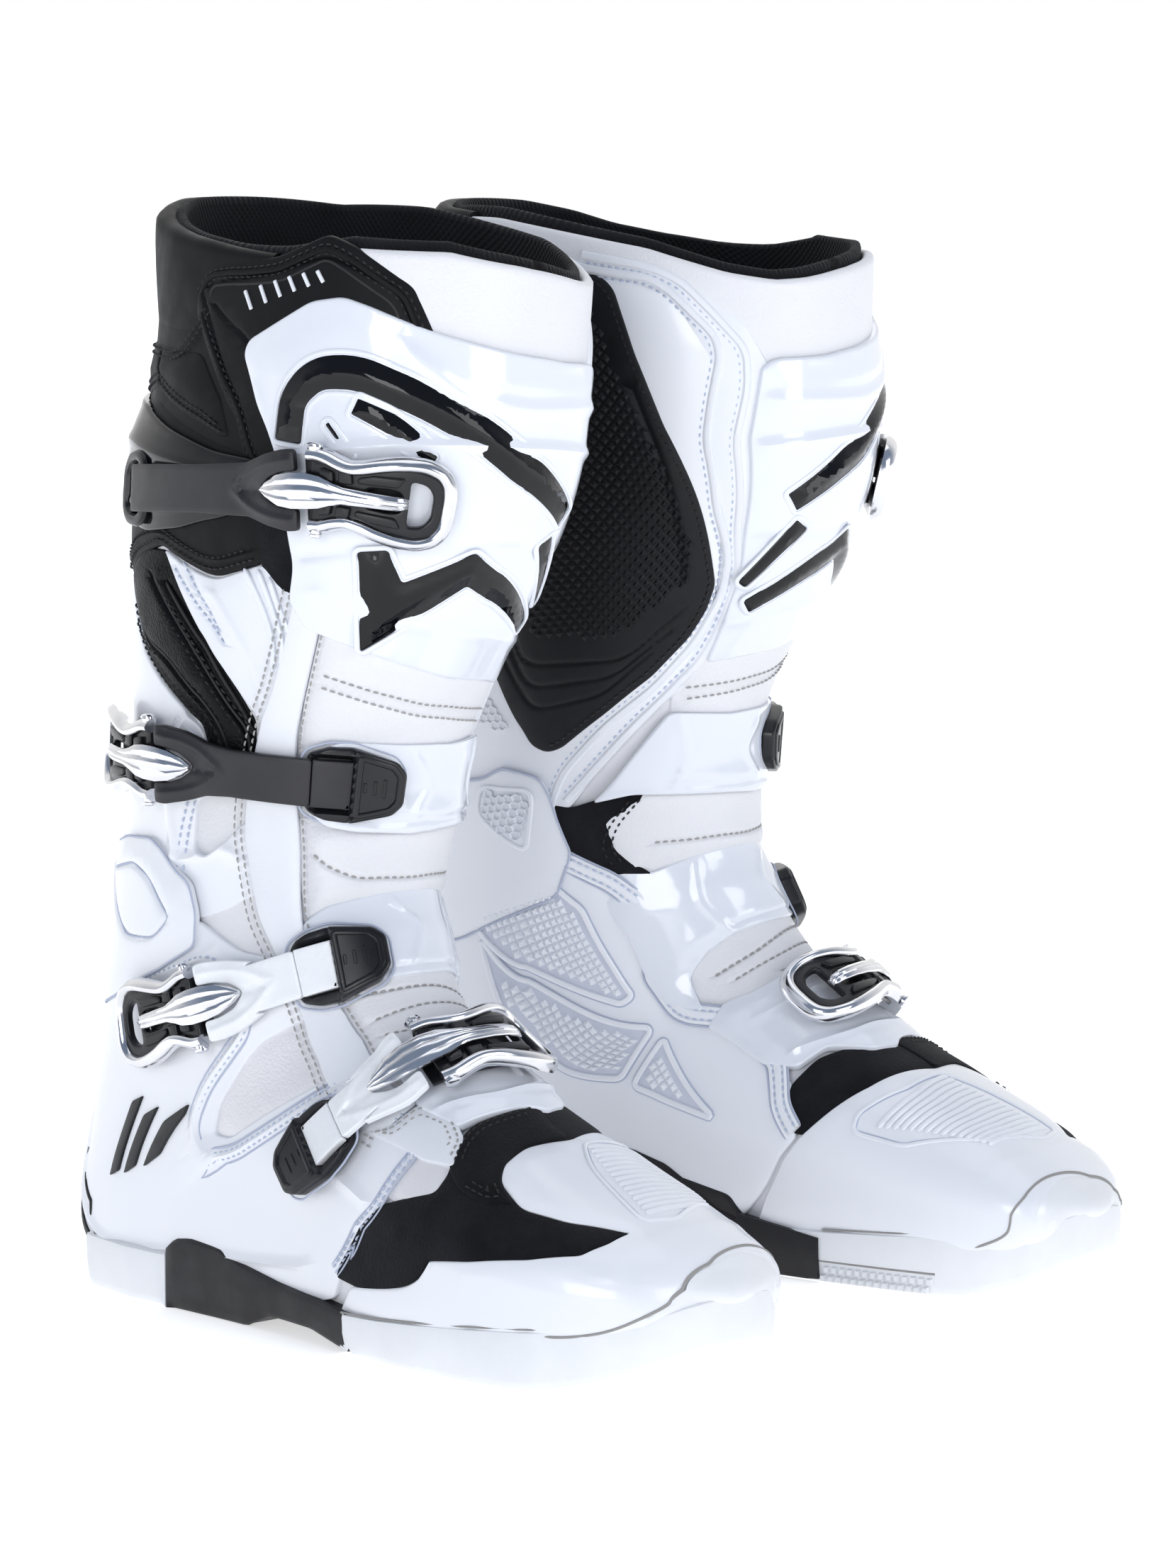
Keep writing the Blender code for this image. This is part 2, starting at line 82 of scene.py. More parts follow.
STATIONS = np.array([
    # a_front z_front a_back z_back lateral medial shift front_squareness back_squareness
    [108, 372, -63, 402, 62, 60, -15, 2.3, 2.3],  # top rim
    [106, 335, -66, 345, 63, 61, -13, 2.3, 2.3],
    [100, 295, -76, 295, 62, 60, -10, 2.3, 2.3],  # calf
    [78, 250, -78, 248, 57, 55, -8, 2.2, 2.2],
    [58, 212, -80, 203, 51, 49, -7, 2.2, 2.2],
    [54, 180, -86, 158, 47, 45, -4, 2.2, 2.2],  # ankle hinge
    [54, 156, -90, 108, 44, 42, 0, 2.2, 2.3],
    [62, 136, -99, 55, 42, 40, 2, 2.2, 2.6],  # heel counter
    [74, 120, -94, 8, 42, 40, 3, 2.1, 3.5],
    [88, 106, -30, 4, 43, 40, 3, 2.1, 4.0],  # instep
    [104, 94, 40, 4, 47, 41, 2, 2.1, 4.5],
    [126, 82, 105, 2, 54, 44, 1, 2.1, 4.5],  # ball of the foot
    [152, 70, 148, 3, 54, 44, 0, 2.1, 4.5],
    [180, 58, 182, 8, 46, 41, -2, 2.1, 4.0],
    [202, 46, 206, 20, 32, 32, -5, 2.1, 3.0],
    [211, 38, 213, 30, 15, 15, -7, 2.0, 2.0],  # toe tip
], float)
LAST = len(STATIONS) - 1

# The rim's height over the first station, as stations, against degrees round the body.
RIM = np.array([(-180, 0), (-140, 0), (-110, -0.1), (-70, -0.12), (-46, -0.03), (-30, -0.02), (-18, -0.07),
                (6, -0.22), (30, -0.3), (60, -0.2), (80, 0.0), (92, 0.07), (110, 0.1), (125, 0.08),
                (140, 0.03), (160, 0), (180, 0)])


# ---------------------------------------------------------------------------------------------------
# The body's surface, and the routes of the closures over it


def station(v):
    """The section's nine values at a fractional station. Above the rim it runs straight on."""
    above = np.minimum(v, 0)[..., None]
    v = np.clip(v, 0, LAST)
    i = np.clip(np.floor(v).astype(int), 0, LAST - 1)
    t = (v - i)[..., None]
    before, here = STATIONS[np.clip(i - 1, 0, LAST)], STATIONS[i]
    after, beyond = STATIONS[i + 1], STATIONS[np.clip(i + 2, 0, LAST)]
    slope_here, slope_after = (after - before) / 2, (beyond - here) / 2
    return (
        (2 * t**3 - 3 * t**2 + 1) * here + (t**3 - 2 * t**2 + t) * slope_here
        + (3 * t**2 - 2 * t**3) * after + (t**3 - t**2) * slope_after
        + above * (STATIONS[1] - STATIONS[0])
    )


def skin(u, v, offset=0.0):
    """Points offset from the body surface."""
    u, v, offset = np.broadcast_arrays(np.radians(u), np.asarray(v, float), offset)
    row = station(v)
    cosine, sine = np.cos(u), np.sin(u)
    power = 2 / np.where(cosine >= 0, row[..., 7], row[..., 8])
    along = np.sign(cosine) * np.abs(cosine) ** power
    across = np.sign(sine) * np.abs(sine) ** power
    width = np.where(sine >= 0, row[..., 4], row[..., 5])
    middle_a, middle_z = (row[..., 0] + row[..., 2]) / 2, (row[..., 1] + row[..., 3]) / 2
    half_a, half_z = (row[..., 0] - row[..., 2]) / 2, (row[..., 1] - row[..., 3]) / 2
    grow = 1 + offset / np.maximum(np.hypot(half_a, half_z), 1)
    return np.stack([
        middle_a + along * half_a * grow,
        row[..., 6] + across * (width + offset),
        middle_z + along * half_z * grow,
    ], -1)


class Body:
    """The body's surface as a map laid out in millimetres."""

    V = np.linspace(-0.8, LAST, 1265)
    MIDDLE = (skin(90, V) + skin(-90, V)) / 2
    S = np.concatenate([[0], np.cumsum(np.linalg.norm(np.diff(MIDDLE, axis=0), axis=1))])

    def xy(self, places):
        places = np.asarray(places, float)
        return np.stack([places[:, 0] * DEGREE, np.interp(places[:, 1], self.V, self.S)], -1)

    def uv(self, xy):
        return xy[..., 0] / DEGREE, np.interp(xy[..., 1], self.S, self.V)

    def at(self, xy, height):
        u, v = self.uv(xy)
        return skin(u, v, height)


STRAP_HEIGHT = 5.6  # of the straps' underside over the body's surface
CLOSURES = {
    "calf": [(138, 1.95), (119, 1.9), (59, 1.80), (21, 1.93)],
    "shin": [(11, 4.50), (42, 4.37), (100, 4.10), (141, 4.0)],
    "ankle": [(14, 7.0), (45, 6.84), (80, 6.68), (108, 6.50)],
    "instep": [(88, 9.42), (61, 9.45), (22, 9.45), (-32, 9.54)],
}
CLOSURE_LIFT = {"calf": 0.0, "shin": 0.0, "ankle": 0.0, "instep": 2.6}


class Route:
    """A closure's path. x runs along it from the strap's hinge, y across it."""

    STEPS = 40  # between two corners

    def __init__(self, corners, lift):
        self.lift = lift
        self.u = np.array([c[0] for c in corners], float)
        self.v = np.array([c[1] for c in corners], float)
        self.share = np.linspace(0, len(corners) - 1, self.STEPS * (len(corners) - 1) + 1)
        points = skin(*self.corner_mix(self.share), STRAP_HEIGHT)
        travelled = np.concatenate([[0], np.cumsum(np.linalg.norm(np.diff(points, axis=0), axis=1))])
        self.distance = travelled - travelled[self.STEPS]
        self.start, self.pivot, self.end = self.distance[[0, -self.STEPS - 1, -1]]

    def corner_mix(self, share):
        knots = np.arange(len(self.u))
        return np.interp(share, knots, self.u), np.interp(share, knots, self.v)

    def xy(self, places):
        return np.asarray(places, float)

    def at(self, xy, height):
        share = np.interp(xy[..., 0], self.distance, self.share)
        beyond = xy[..., 0] - np.clip(xy[..., 0], self.start, self.end)
        u, v = self.corner_mix(share)
        last = len(self.u) - 1
        ahead = skin(*self.corner_mix(np.minimum(share + 0.1, last)))
        behind = skin(*self.corner_mix(np.maximum(share - 0.1, 0)))
        along = ahead - behind
        outward = np.cross(skin(u + 2, v) - skin(u - 2, v), skin(u, v + 0.1) - skin(u, v - 0.1))
        outward /= np.linalg.norm(outward, axis=-1, keepdims=True)
        outward *= np.sign((outward * (skin(u, v, 5.0) - skin(u, v))).sum(-1, keepdims=True))
        along -= outward * (along * outward).sum(-1, keepdims=True)
        along /= np.linalg.norm(along, axis=-1, keepdims=True)
        across = np.cross(outward, along)
        lift = (np.asarray(height) + self.lift)[..., None] if np.ndim(height) else height + self.lift
        return skin(u, v) + along * beyond[..., None] + across * xy[..., 1:2] + outward * lift


class Ground:
    """The plane at z = 0, for the sole: x is a and y is b."""

    def xy(self, places):
        return np.asarray(places, float)

    def at(self, xy, height):
        return np.stack([xy[..., 0], xy[..., 1], np.broadcast_to(height, xy.shape[:-1])], -1).astype(float)


BODY = Body()
GROUND = Ground()
ROUTES = {name: Route(corners, CLOSURE_LIFT[name]) for name, corners in CLOSURES.items()}


# ---------------------------------------------------------------------------------------------------
# Solids: each is (points, faces, map coordinates)


def joined(solids):
    points, faces, flat, start = [], [], [], 0
    for solid in solids:
        points.append(solid[0])
        faces += [tuple(start + i for i in face) for face in solid[1]]
        flat.append(solid[2])
        start += len(solid[0])
    return np.concatenate(points), faces, np.concatenate(flat)


def slopes(chart, xy):
    """How a point moves for a millimetre of x and of y on the map."""
    step = 0.4
    right, up = np.array([step, 0.0]), np.array([0.0, step])
    along_x = (chart.at(xy + right, 0.0) - chart.at(xy - right, 0.0)) / (2 * step)
    along_y = (chart.at(xy + up, 0.0) - chart.at(xy - up, 0.0)) / (2 * step)
    return along_x, along_y


def moved(chart, xy, tangent, distance):
    """Map points moved to the left of a tangent by a real distance."""
    along_x, along_y = slopes(chart, xy)
    normal = np.cross(along_x, along_y)
    normal /= np.linalg.norm(normal, axis=-1, keepdims=True) + 1e-12
    ahead = along_x * tangent[:, :1] + along_y * tangent[:, 1:]
    ahead /= np.linalg.norm(ahead, axis=-1, keepdims=True) + 1e-12
    left = np.cross(normal, ahead) * np.reshape(distance, (-1, 1))
    xx, xy_, yy = (along_x**2).sum(-1), (along_x * along_y).sum(-1), (along_y**2).sum(-1)
    lx, ly = (left * along_x).sum(-1), (left * along_y).sum(-1)
    det = xx * yy - xy_**2 + 1e-9
    return xy + np.stack([(lx * yy - ly * xy_) / det, (ly * xx - lx * xy_) / det], -1)


def tangents(xy, closed):
    if closed:
        return np.roll(xy, -1, 0) - np.roll(xy, 1, 0)
    return np.gradient(xy, axis=0)


def shifted(chart, xy, distance, closed=False):
    return moved(chart, xy, tangents(xy, closed), distance)


def rounded(corners, rounding, spacing, closed=True):
    """A polygon or an open line with its corners rounded and its long edges divided."""
    count = len(corners)
    path = []
    for i, corner in enumerate(corners):
        if not closed and i in (0, count - 1):
            path.append(corner)
            continue
        before, after = corners[i - 1] - corner, corners[(i + 1) % count] - corner
        near = min(rounding, 0.45 * np.linalg.norm(before), 0.45 * np.linalg.norm(after))
        if near < 0.2:
            path.append(corner)
            continue
        first = corner + before / np.linalg.norm(before) * near
        last = corner + after / np.linalg.norm(after) * near
        for t in np.linspace(0, 1, 6):
            path.append((1 - t) ** 2 * first + 2 * t * (1 - t) * corner + t**2 * last)
    fine = []
    pairs = list(zip(path, path[1:])) + ([(path[-1], path[0])] if closed else [])
    for a, b in pairs:
        length = np.linalg.norm(b - a)
        if length < 0.05:
            continue
        steps = max(1, math.ceil(length / spacing))
        fine += [a + (b - a) * k / steps for k in range(steps)]
    if not closed:
        fine.append(path[-1])
    return np.array(fine)


def outline(chart, places, rounding=3.0, spacing=2.5):
    """A closed outline on the map, counterclockwise."""
    xy = rounded(chart.xy(places), rounding, spacing)
    area = (xy[:, 0] * np.roll(xy[:, 1], -1) - xy[:, 1] * np.roll(xy[:, 0], -1)).sum()
    return xy if area > 0 else xy[::-1]


def line(chart, places, rounding=6.0, spacing=1.5):
    return rounded(chart.xy(places), rounding, spacing, closed=False)


def stroke(path, half, ends=(1.0, 1.0), rounding=0.0):
    """The outline of a bar along a line on the body, as wide at its ends as the two shares say."""
    way = line(BODY, path, rounding, 3.0) if rounding else BODY.xy(path)
    steps = np.diff(way, axis=0)
    one = moved(BODY, way, np.concatenate([steps[:1], steps]), 1.0) - way
    two = moved(BODY, way, np.concatenate([steps, steps[-1:]]), 1.0) - way
    middle = one + two
    spread = (middle * one).sum(-1) / (one**2).sum(-1)
    width = half * np.interp(np.linspace(0, 1, len(way)), [0, 0.25, 0.75, 1], [ends[0], 1, 1, ends[1]])
    aside = middle * (width / np.maximum(spread, 0.35))[:, None]
    return np.stack(BODY.uv(np.concatenate([way + aside, (way - aside)[::-1]])), -1)


def inside(xy, ring):
    """Which points lie inside a closed ring."""
    a, b = ring, np.roll(ring, -1, 0)
    x, y = xy[:, :1], xy[:, 1:2]
    crosses = (a[:, 1] > y) != (b[:, 1] > y)
    slope = (b[:, 0] - a[:, 0]) / np.where(b[:, 1] == a[:, 1], 1e-9, b[:, 1] - a[:, 1])
    return (crosses & (x < slope * (y - a[:, 1]) + a[:, 0])).sum(1) % 2 == 1


def gap_to(xy, path, closed=False):
    """Each point's distance to a line or ring, on the map."""
    a = path if closed else path[:-1]
    b = np.roll(path, -1, 0) if closed else path[1:]
    best = np.full(len(xy), 1e9)
    for start in range(0, len(a), 64):
        p, q = a[start:start + 64], b[start:start + 64]
        d = q - p
        t = ((xy[:, None] - p) * d).sum(-1) / ((d**2).sum(-1) + 1e-12)
        near = p + np.clip(t, 0, 1)[..., None] * d
        best = np.minimum(best, np.linalg.norm(xy[:, None] - near, axis=-1).min(1))
    return best


def smooth(t):
    t = np.clip(t, 0, 1)
    return t * t * (3 - 2 * t)


def value(height, xy):
    return height(xy) if callable(height) else np.full(len(xy), float(height))


LINE_ROWS = (-2.2, -1.5, -1.0, -0.5, 0.0, 0.5, 1.0, 1.5, 2.2)  # across a panel's ridge, in half widths
EDGE_TURNS = (0, 30, 60)  # degrees round a panel's rolled edge


def panel_flat(chart, insets, paths, spacing):
    """A panel's top on the map: its points, its triangles and where each point of the insets went."""
    every = np.concatenate(insets)
    low, high = every.min(0), every.max(0)
    xs = np.arange(low[0], high[0], spacing)
    ys = np.arange(low[1], high[1], spacing)
    grid = np.stack(np.meshgrid(xs, ys), -1)
    grid[1::2, :, 0] += spacing / 2
    inner = grid.reshape(-1, 2)
    for path, width, _ in paths:
        inner = inner[gap_to(inner, path) > width * LINE_ROWS[-1]]
    for path, width, _ in paths:
        for share in LINE_ROWS:
            inner = np.concatenate([inner, shifted(chart, path, share * width)[::2]])
    if len(inner):
        keep = inside(inner, insets[0])
        for ring in insets:
            keep &= gap_to(inner, ring, closed=True) > 0.8
        for hole in insets[1:]:
            keep &= ~inside(inner, hole)
        inner = inner[keep]
    edges, start = [], 0
    for ring in insets:
        count = len(ring)
        edges += [(start + i, start + (i + 1) % count) for i in range(count)]
        start += count
    points = [Vector(p) for p in np.concatenate([every, inner]).tolist()]
    out, _, faces, origin, _, _ = delaunay_2d_cdt(points, edges, [], 0, 1e-4)
    flat = np.array([tuple(p) for p in out])
    centres = flat[np.array(faces)].mean(1)
    kept = inside(centres, insets[0])
    for hole in insets[1:]:
        kept &= ~inside(centres, hole)
    faces = [face for face, keep in zip(faces, kept) if keep]
    source = {old: new for new, olds in enumerate(origin) for old in olds}
    return flat, faces, source


def panel(chart, places, base, top, edge=0.9, rounding=3.0, spacing=4.0, dome=0.0, reach=8.0,
          lines=(), holes=()):
    """A closed panel on a surface, with a rolled edge.

    dome raises the middle over a border as wide as reach. lines are (places, half width, height) of
    ridges or grooves. holes are outlines cut right through.
    """
    rings = [outline(chart, places, rounding)] + [outline(chart, hole, 2.0)[::-1] for hole in holes]
    insets = [shifted(chart, ring, edge, closed=True) for ring in rings]
    paths = [(line(chart, path), width, height) for path, width, height in lines]
    flat, faces, source = panel_flat(chart, insets, paths, spacing)

    def height(xy):
        made = value(top, xy)
        if dome:
            edge_gap = np.min([gap_to(xy, ring, closed=True) for ring in insets], axis=0)
            made = made + dome * smooth(edge_gap / reach)
        for path, width, rise in paths:
            made = made + rise * np.exp(-((gap_to(xy, path) / width) ** 2) * 1.3)
        return made

    high_side = chart.at(flat, height(flat))
    low_flat = flat.copy()
    start = 0
    for ring in rings:
        for i in range(len(ring)):
            low_flat[source[start + i]] = ring[i]
        start += len(ring)
    low_side = chart.at(low_flat, value(base, low_flat))
    size = len(flat)
    solids = [high_side, low_side]
    maps = [flat, low_flat]
    all_faces = [tuple(face) for face in faces] + [tuple(size + i for i in reversed(face)) for face in faces]
    total, start = 2 * size, 0
    for ring, inset in zip(rings, insets):
        count = len(ring)
        bottom = [size + source[start + i] for i in range(count)]
        upper = [source[start + i] for i in range(count)]
        previous = bottom
        for turn in EDGE_TURNS if edge > 0.3 else EDGE_TURNS[:1]:
            bend = math.radians(turn)
            part = ring + (inset - ring) * (1 - math.cos(bend))
            solids.append(chart.at(part, height(inset) - edge * (1 - math.sin(bend))))
            maps.append(part)
            here = list(range(total, total + count))
            total += count
            for i in range(count):
                j = (i + 1) % count
                all_faces.append((previous[i], previous[j], here[j], here[i]))
            previous = here
        for i in range(count):
            j = (i + 1) % count
            all_faces.append((previous[i], previous[j], upper[j], upper[i]))
        start += count
    return np.concatenate(solids), all_faces, np.concatenate(maps)


def loft(rings, closed_path=False, flat=None):
    """A solid through closed rings of points, capped at both ends unless the path closes."""
    rings = np.asarray(rings, float)
    rows, count = rings.shape[:2]
    faces = []
    for i in range(rows if closed_path else rows - 1):
        n = (i + 1) % rows
        for j in range(count):
            k = (j + 1) % count
            faces.append((i * count + j, i * count + k, n * count + k, n * count + j))
    if not closed_path:
        faces.append(tuple(range(count)))
        faces.append(tuple((rows - 1) * count + j for j in reversed(range(count))))
    if flat is None:
        around = np.linspace(0, 1, count, endpoint=False) * 20
        flat = np.stack(np.broadcast_arrays(around[None, :], np.arange(rows)[:, None] * 2.0), -1)
    return rings.reshape(-1, 3), faces, np.asarray(flat, float).reshape(-1, 2)


def ribbon(chart, path, profile):
    """A solid swept along a line on a surface. profile is (across, height) points of its section."""
    rings = [chart.at(shifted(chart, path, across), np.full(len(path), float(height)))
             for across, height in profile]
    return loft(np.stack(rings, 1))


def bead(chart, path, radius, height, sides=8, squash=0.8, closed=False):
    """A round bead or piping along a line."""
    turns = np.linspace(0, 2 * math.pi, sides, endpoint=False)
    tips = np.ones(len(path))
    if not closed:
        tips[[0, -1]] = 0.3
        tips[[1, -2]] = 0.8
    way = tangents(path, closed)
    rings = [chart.at(moved(chart, path, way, radius * math.cos(t) * tips),
                      height + radius * squash * math.sin(t) * tips) for t in turns]
    return loft(np.stack(rings, 1), closed_path=closed)


def cord(points, radius, sides=6):
    """A thin round cord through points."""
    ahead = np.gradient(points, axis=0)
    ahead /= np.linalg.norm(ahead, axis=-1, keepdims=True)
    aside = np.cross(ahead, [0.0, 0.0, 1.0])
    aside /= np.linalg.norm(aside, axis=-1, keepdims=True)
    over = np.cross(aside, ahead)
    turns = np.linspace(0, 2 * math.pi, sides, endpoint=False)
    return loft(np.stack([points + radius * (aside * math.cos(t) + over * math.sin(t)) for t in turns], 1))


def stitches(chart, path, height, pitch=3.1, length=2.2, radius=0.4):
    """A row of stitches, each a short bent capsule whose ends go into the surface."""
    points = chart.at(path, np.full(len(path), float(height)))
    travelled = np.concatenate([[0], np.cumsum(np.linalg.norm(np.diff(points, axis=0), axis=1))])
    count = int(travelled[-1] // pitch)
    if count < 1:
        return np.zeros((0, 3)), [], np.zeros((0, 2))
    starts = (travelled[-1] - count * pitch + pitch - length) / 2 + np.arange(count) * pitch
    shares = np.array([0.0, 0.22, 0.5, 0.78, 1.0])
    swell = np.array([0.35, 0.9, 1.0, 0.9, 0.35])
    rise = np.array([-0.35, 0.05, 0.16, 0.05, -0.35])
    where = starts[:, None] + shares * length
    xy = np.stack([np.interp(where, travelled, path[:, k]) for k in (0, 1)], -1)
    tangent = np.stack([np.interp(where, travelled, np.gradient(path[:, k], travelled)) for k in (0, 1)], -1)
    xy, tangent = xy.reshape(-1, 2), tangent.reshape(-1, 2)
    swell, rise = np.tile(swell, count), np.tile(rise, count)
    sides = 6
    rings = []
    for t in np.linspace(0, 2 * math.pi, sides, endpoint=False):
        side = moved(chart, xy, tangent, radius * math.cos(t) * swell)
        rings.append(chart.at(side, height + rise + radius * math.sin(t) * swell))
    rings = np.stack(rings, 1).reshape(count, 5, sides, 3)
    flat = np.repeat(xy.reshape(count, 5, 1, 2), sides, 2)
    return joined([loft(rings[k], flat=flat[k]) for k in range(count)])


def border(chart, places, inset, first=0, last=None):
    """The line that follows part of an outline's corners at a distance inside it."""
    corners = chart.xy(places)
    area = (corners[:, 0] * np.roll(corners[:, 1], -1) - corners[:, 1] * np.roll(corners[:, 0], -1)).sum()
    turn = 1.0 if area > 0 else -1.0
    into, onward = corners - np.roll(corners, 1, 0), np.roll(corners, -1, 0) - corners
    one = moved(chart, corners, into, turn) - corners
    two = moved(chart, corners, onward, turn) - corners
    middle = one + two
    spread = (middle * one).sum(-1, keepdims=True) / ((one**2).sum(-1, keepdims=True) + 1e-9)
    inner = corners + middle / np.maximum(spread, 0.35) * inset
    last = len(places) if last is None else last + 1
    return rounded(inner[first:last], 4.0, 1.5, closed=False)


def border_rows(places, first, last, insets, height):
    """Rows of stitches on the body inside part of an outline, one at each inset."""
    return [stitches(BODY, border(BODY, places, inset, first, last), height) for inset in insets]


def side_rows(way, asides, height):
    """Rows of stitches on the body beside a line, one at each distance to its left."""
    return [stitches(BODY, shifted(BODY, way, aside), height) for aside in asides]


def lattice(chart, ring, pitch, turn=0.0, stagger=False):
    """Places of a regular grid inside a ring of the map, and the matrix from real millimetres to the map."""
    middle = (ring.min(0) + ring.max(0)) / 2
    along_x, along_y = (slope[0] for slope in slopes(chart, middle[None]))
    first = along_x / np.linalg.norm(along_x)
    second = along_y - first * (along_y @ first)
    second /= np.linalg.norm(second)
    real = np.array([[along_x @ first, along_y @ first], [along_x @ second, along_y @ second]])
    to_map = np.linalg.inv(real)
    half = np.linalg.norm((ring - middle) @ real.T, axis=1).max()
    rows = pitch * (math.sqrt(0.75) if stagger else 1.0)
    ys = np.arange(-half, half, rows)
    xs = np.arange(-half, half, pitch)
    grid = np.stack(np.meshgrid(xs, ys), -1)
    if stagger:
        grid[1::2, :, 0] += pitch / 2
    grid = grid.reshape(-1, 2)
    cosine, sine = math.cos(turn), math.sin(turn)
    grid = grid @ np.array([[cosine, sine], [-sine, cosine]]) @ to_map.T + middle
    return grid[inside(grid, ring) & (gap_to(grid, ring, closed=True) > pitch * 0.35)], to_map


def pyramids(chart, places, pitch, base, height, turn=0.0, inset=1.0):
    """A field of small four-sided studs."""
    ring = shifted(chart, outline(chart, places, 2.0), inset, closed=True)
    centres, to_map = lattice(chart, ring, pitch, turn)
    arm = pitch * 0.48 * math.sqrt(2)
    spokes = [to_map @ np.array([math.cos(turn + k), math.sin(turn + k)]) * arm for k in
              np.radians([45, 135, 225, 315])]
    corners = [chart.at(centres + spoke, np.full(len(centres), base)) for spoke in spokes]
    tops = [chart.at(centres + spoke * 0.22, np.full(len(centres), base + height)) for spoke in spokes]
    count = len(centres)
    points = np.stack(corners + tops, 1).reshape(-1, 3)
    faces = []
    for k in range(count):
        at = 8 * k
        faces += [(at + j, at + (j + 1) % 4, at + 4 + (j + 1) % 4, at + 4 + j) for j in range(4)]
        faces += [(at + 4, at + 5, at + 6, at + 7), (at + 3, at + 2, at + 1, at)]
    return points, faces, np.repeat(centres, 8, 0)


def honeycomb(chart, places, pitch, base, height):
    """Six-sided cells with ridges between them."""
    ring = outline(chart, places, 1.0)
    centres, to_map = lattice(chart, ring, pitch, stagger=True)
    spokes = [to_map @ np.array([math.cos(k), math.sin(k)]) for k in np.radians([30, 90, 150, 210, 270, 330])]
    reach = pitch / math.sqrt(3)
    low = [chart.at(centres + s * reach, np.full(len(centres), base)) for s in spokes]
    high = [chart.at(centres + s * reach, np.full(len(centres), base + height)) for s in spokes]
    inner = [chart.at(centres + s * reach * 0.72, np.full(len(centres), base + 0.1)) for s in spokes]
    points = np.stack(low + high + inner, 1).reshape(-1, 3)
    faces = []
    for k in range(len(centres)):
        at = 18 * k
        for j in range(6):
            n = (j + 1) % 6
            faces.append((at + j, at + n, at + 6 + n, at + 6 + j))
            faces.append((at + 6 + j, at + 6 + n, at + 12 + n, at + 12 + j))
        faces.append(tuple(at + 12 + j for j in range(6)))
        faces.append(tuple(at + j for j in reversed(range(6))))
    return points, faces, np.repeat(centres, 18, 0)


# ---------------------------------------------------------------------------------------------------
# Materials


def node(tree, kind, **inputs):
    made = tree.nodes.new(kind)
    for name, given in inputs.items():
        made.inputs[name.replace("_", " ")].default_value = given
    return made


def material(name, colour, roughness, metallic=0.0, coat=0.0, sheen=0.0, grain=(), mottle=0.03, worn=0.06,
             specular=0.5):
    """A finish. grain lists (texture, cells per metre, depth in millimetres) of its relief."""
    made = bpy.data.materials.new(name)
    made.use_nodes = True
    tree = made.node_tree
    shader = tree.nodes["Principled BSDF"]
    shader.inputs["Metallic"].default_value = metallic
    shader.inputs["Coat Weight"].default_value = coat
    shader.inputs["Coat Roughness"].default_value = 0.06
    shader.inputs["Sheen Weight"].default_value = sheen
    shader.inputs["Sheen Roughness"].default_value = 0.5
    shader.inputs["Specular IOR Level"].default_value = specular
    place_on = tree.nodes.new("ShaderNodeTexCoord")
    cloud = node(tree, "ShaderNodeTexNoise", Scale=38.0, Detail=4.0, Roughness=0.6)
    tree.links.new(place_on.outputs["Object"], cloud.inputs["Vector"])
    ramp = tree.nodes.new("ShaderNodeValToRGB")
    ramp.color_ramp.elements[0].position, ramp.color_ramp.elements[1].position = 0.32, 0.68
    ramp.color_ramp.elements[0].color = (*[c * (1 - mottle) for c in colour], 1)
    ramp.color_ramp.elements[1].color = (*[min(c * (1 + mottle), 1) for c in colour], 1)
    tree.links.new(cloud.outputs["Fac"], ramp.inputs["Fac"])
    tree.links.new(ramp.outputs["Color"], shader.inputs["Base Color"])
    rub = node(tree, "ShaderNodeTexNoise", Scale=95.0, Detail=3.0)
    tree.links.new(place_on.outputs["Object"], rub.inputs["Vector"])
    spread = tree.nodes.new("ShaderNodeMapRange")
    spread.inputs["From Min"].default_value, spread.inputs["From Max"].default_value = 0.3, 0.7
    spread.inputs["To Min"].default_value = max(roughness - worn, 0.03)
    spread.inputs["To Max"].default_value = min(roughness + worn, 1.0)
    tree.links.new(rub.outputs["Fac"], spread.inputs["Value"])
    tree.links.new(spread.outputs["Result"], shader.inputs["Roughness"])
    add_grain(tree, place_on, shader, grain)
    return made


def add_grain(tree, place_on, shader, grain):
    """Chains a bump for each texture of the grain."""
    previous = None
    for texture, scale, depth in grain:
        if texture == "cells":
            relief = node(tree, "ShaderNodeTexVoronoi", Scale=scale)
            relief.feature = "SMOOTH_F1"
            relief.inputs["Smoothness"].default_value = 0.35
            source, output = place_on.outputs["Object"], "Distance"
        elif texture == "knit":
            relief = node(tree, "ShaderNodeTexVoronoi", Scale=scale, Randomness=0.0)
            turned = tree.nodes.new("ShaderNodeMapping")
            turned.inputs["Rotation"].default_value = (0, 0, math.radians(45))
            turned.inputs["Scale"].default_value = (1.0, 0.72, 1.0)
            tree.links.new(place_on.outputs["UV"], turned.inputs["Vector"])
            source, output = turned.outputs["Vector"], "Distance"
        else:
            relief = node(tree, "ShaderNodeTexNoise", Scale=scale, Detail=3.0)
            source, output = place_on.outputs["Object"], "Fac"
        tree.links.new(source, relief.inputs["Vector"])
        bump = tree.nodes.new("ShaderNodeBump")
        bump.inputs["Strength"].default_value = 1.0
        bump.inputs["Distance"].default_value = depth * MM
        bump.invert = texture == "cells"
        tree.links.new(relief.outputs[output], bump.inputs["Height"])
        if previous is not None:
            tree.links.new(previous.outputs["Normal"], bump.inputs["Normal"])
        previous = bump
    if previous is not None:
        tree.links.new(previous.outputs["Normal"], shader.inputs["Normal"])


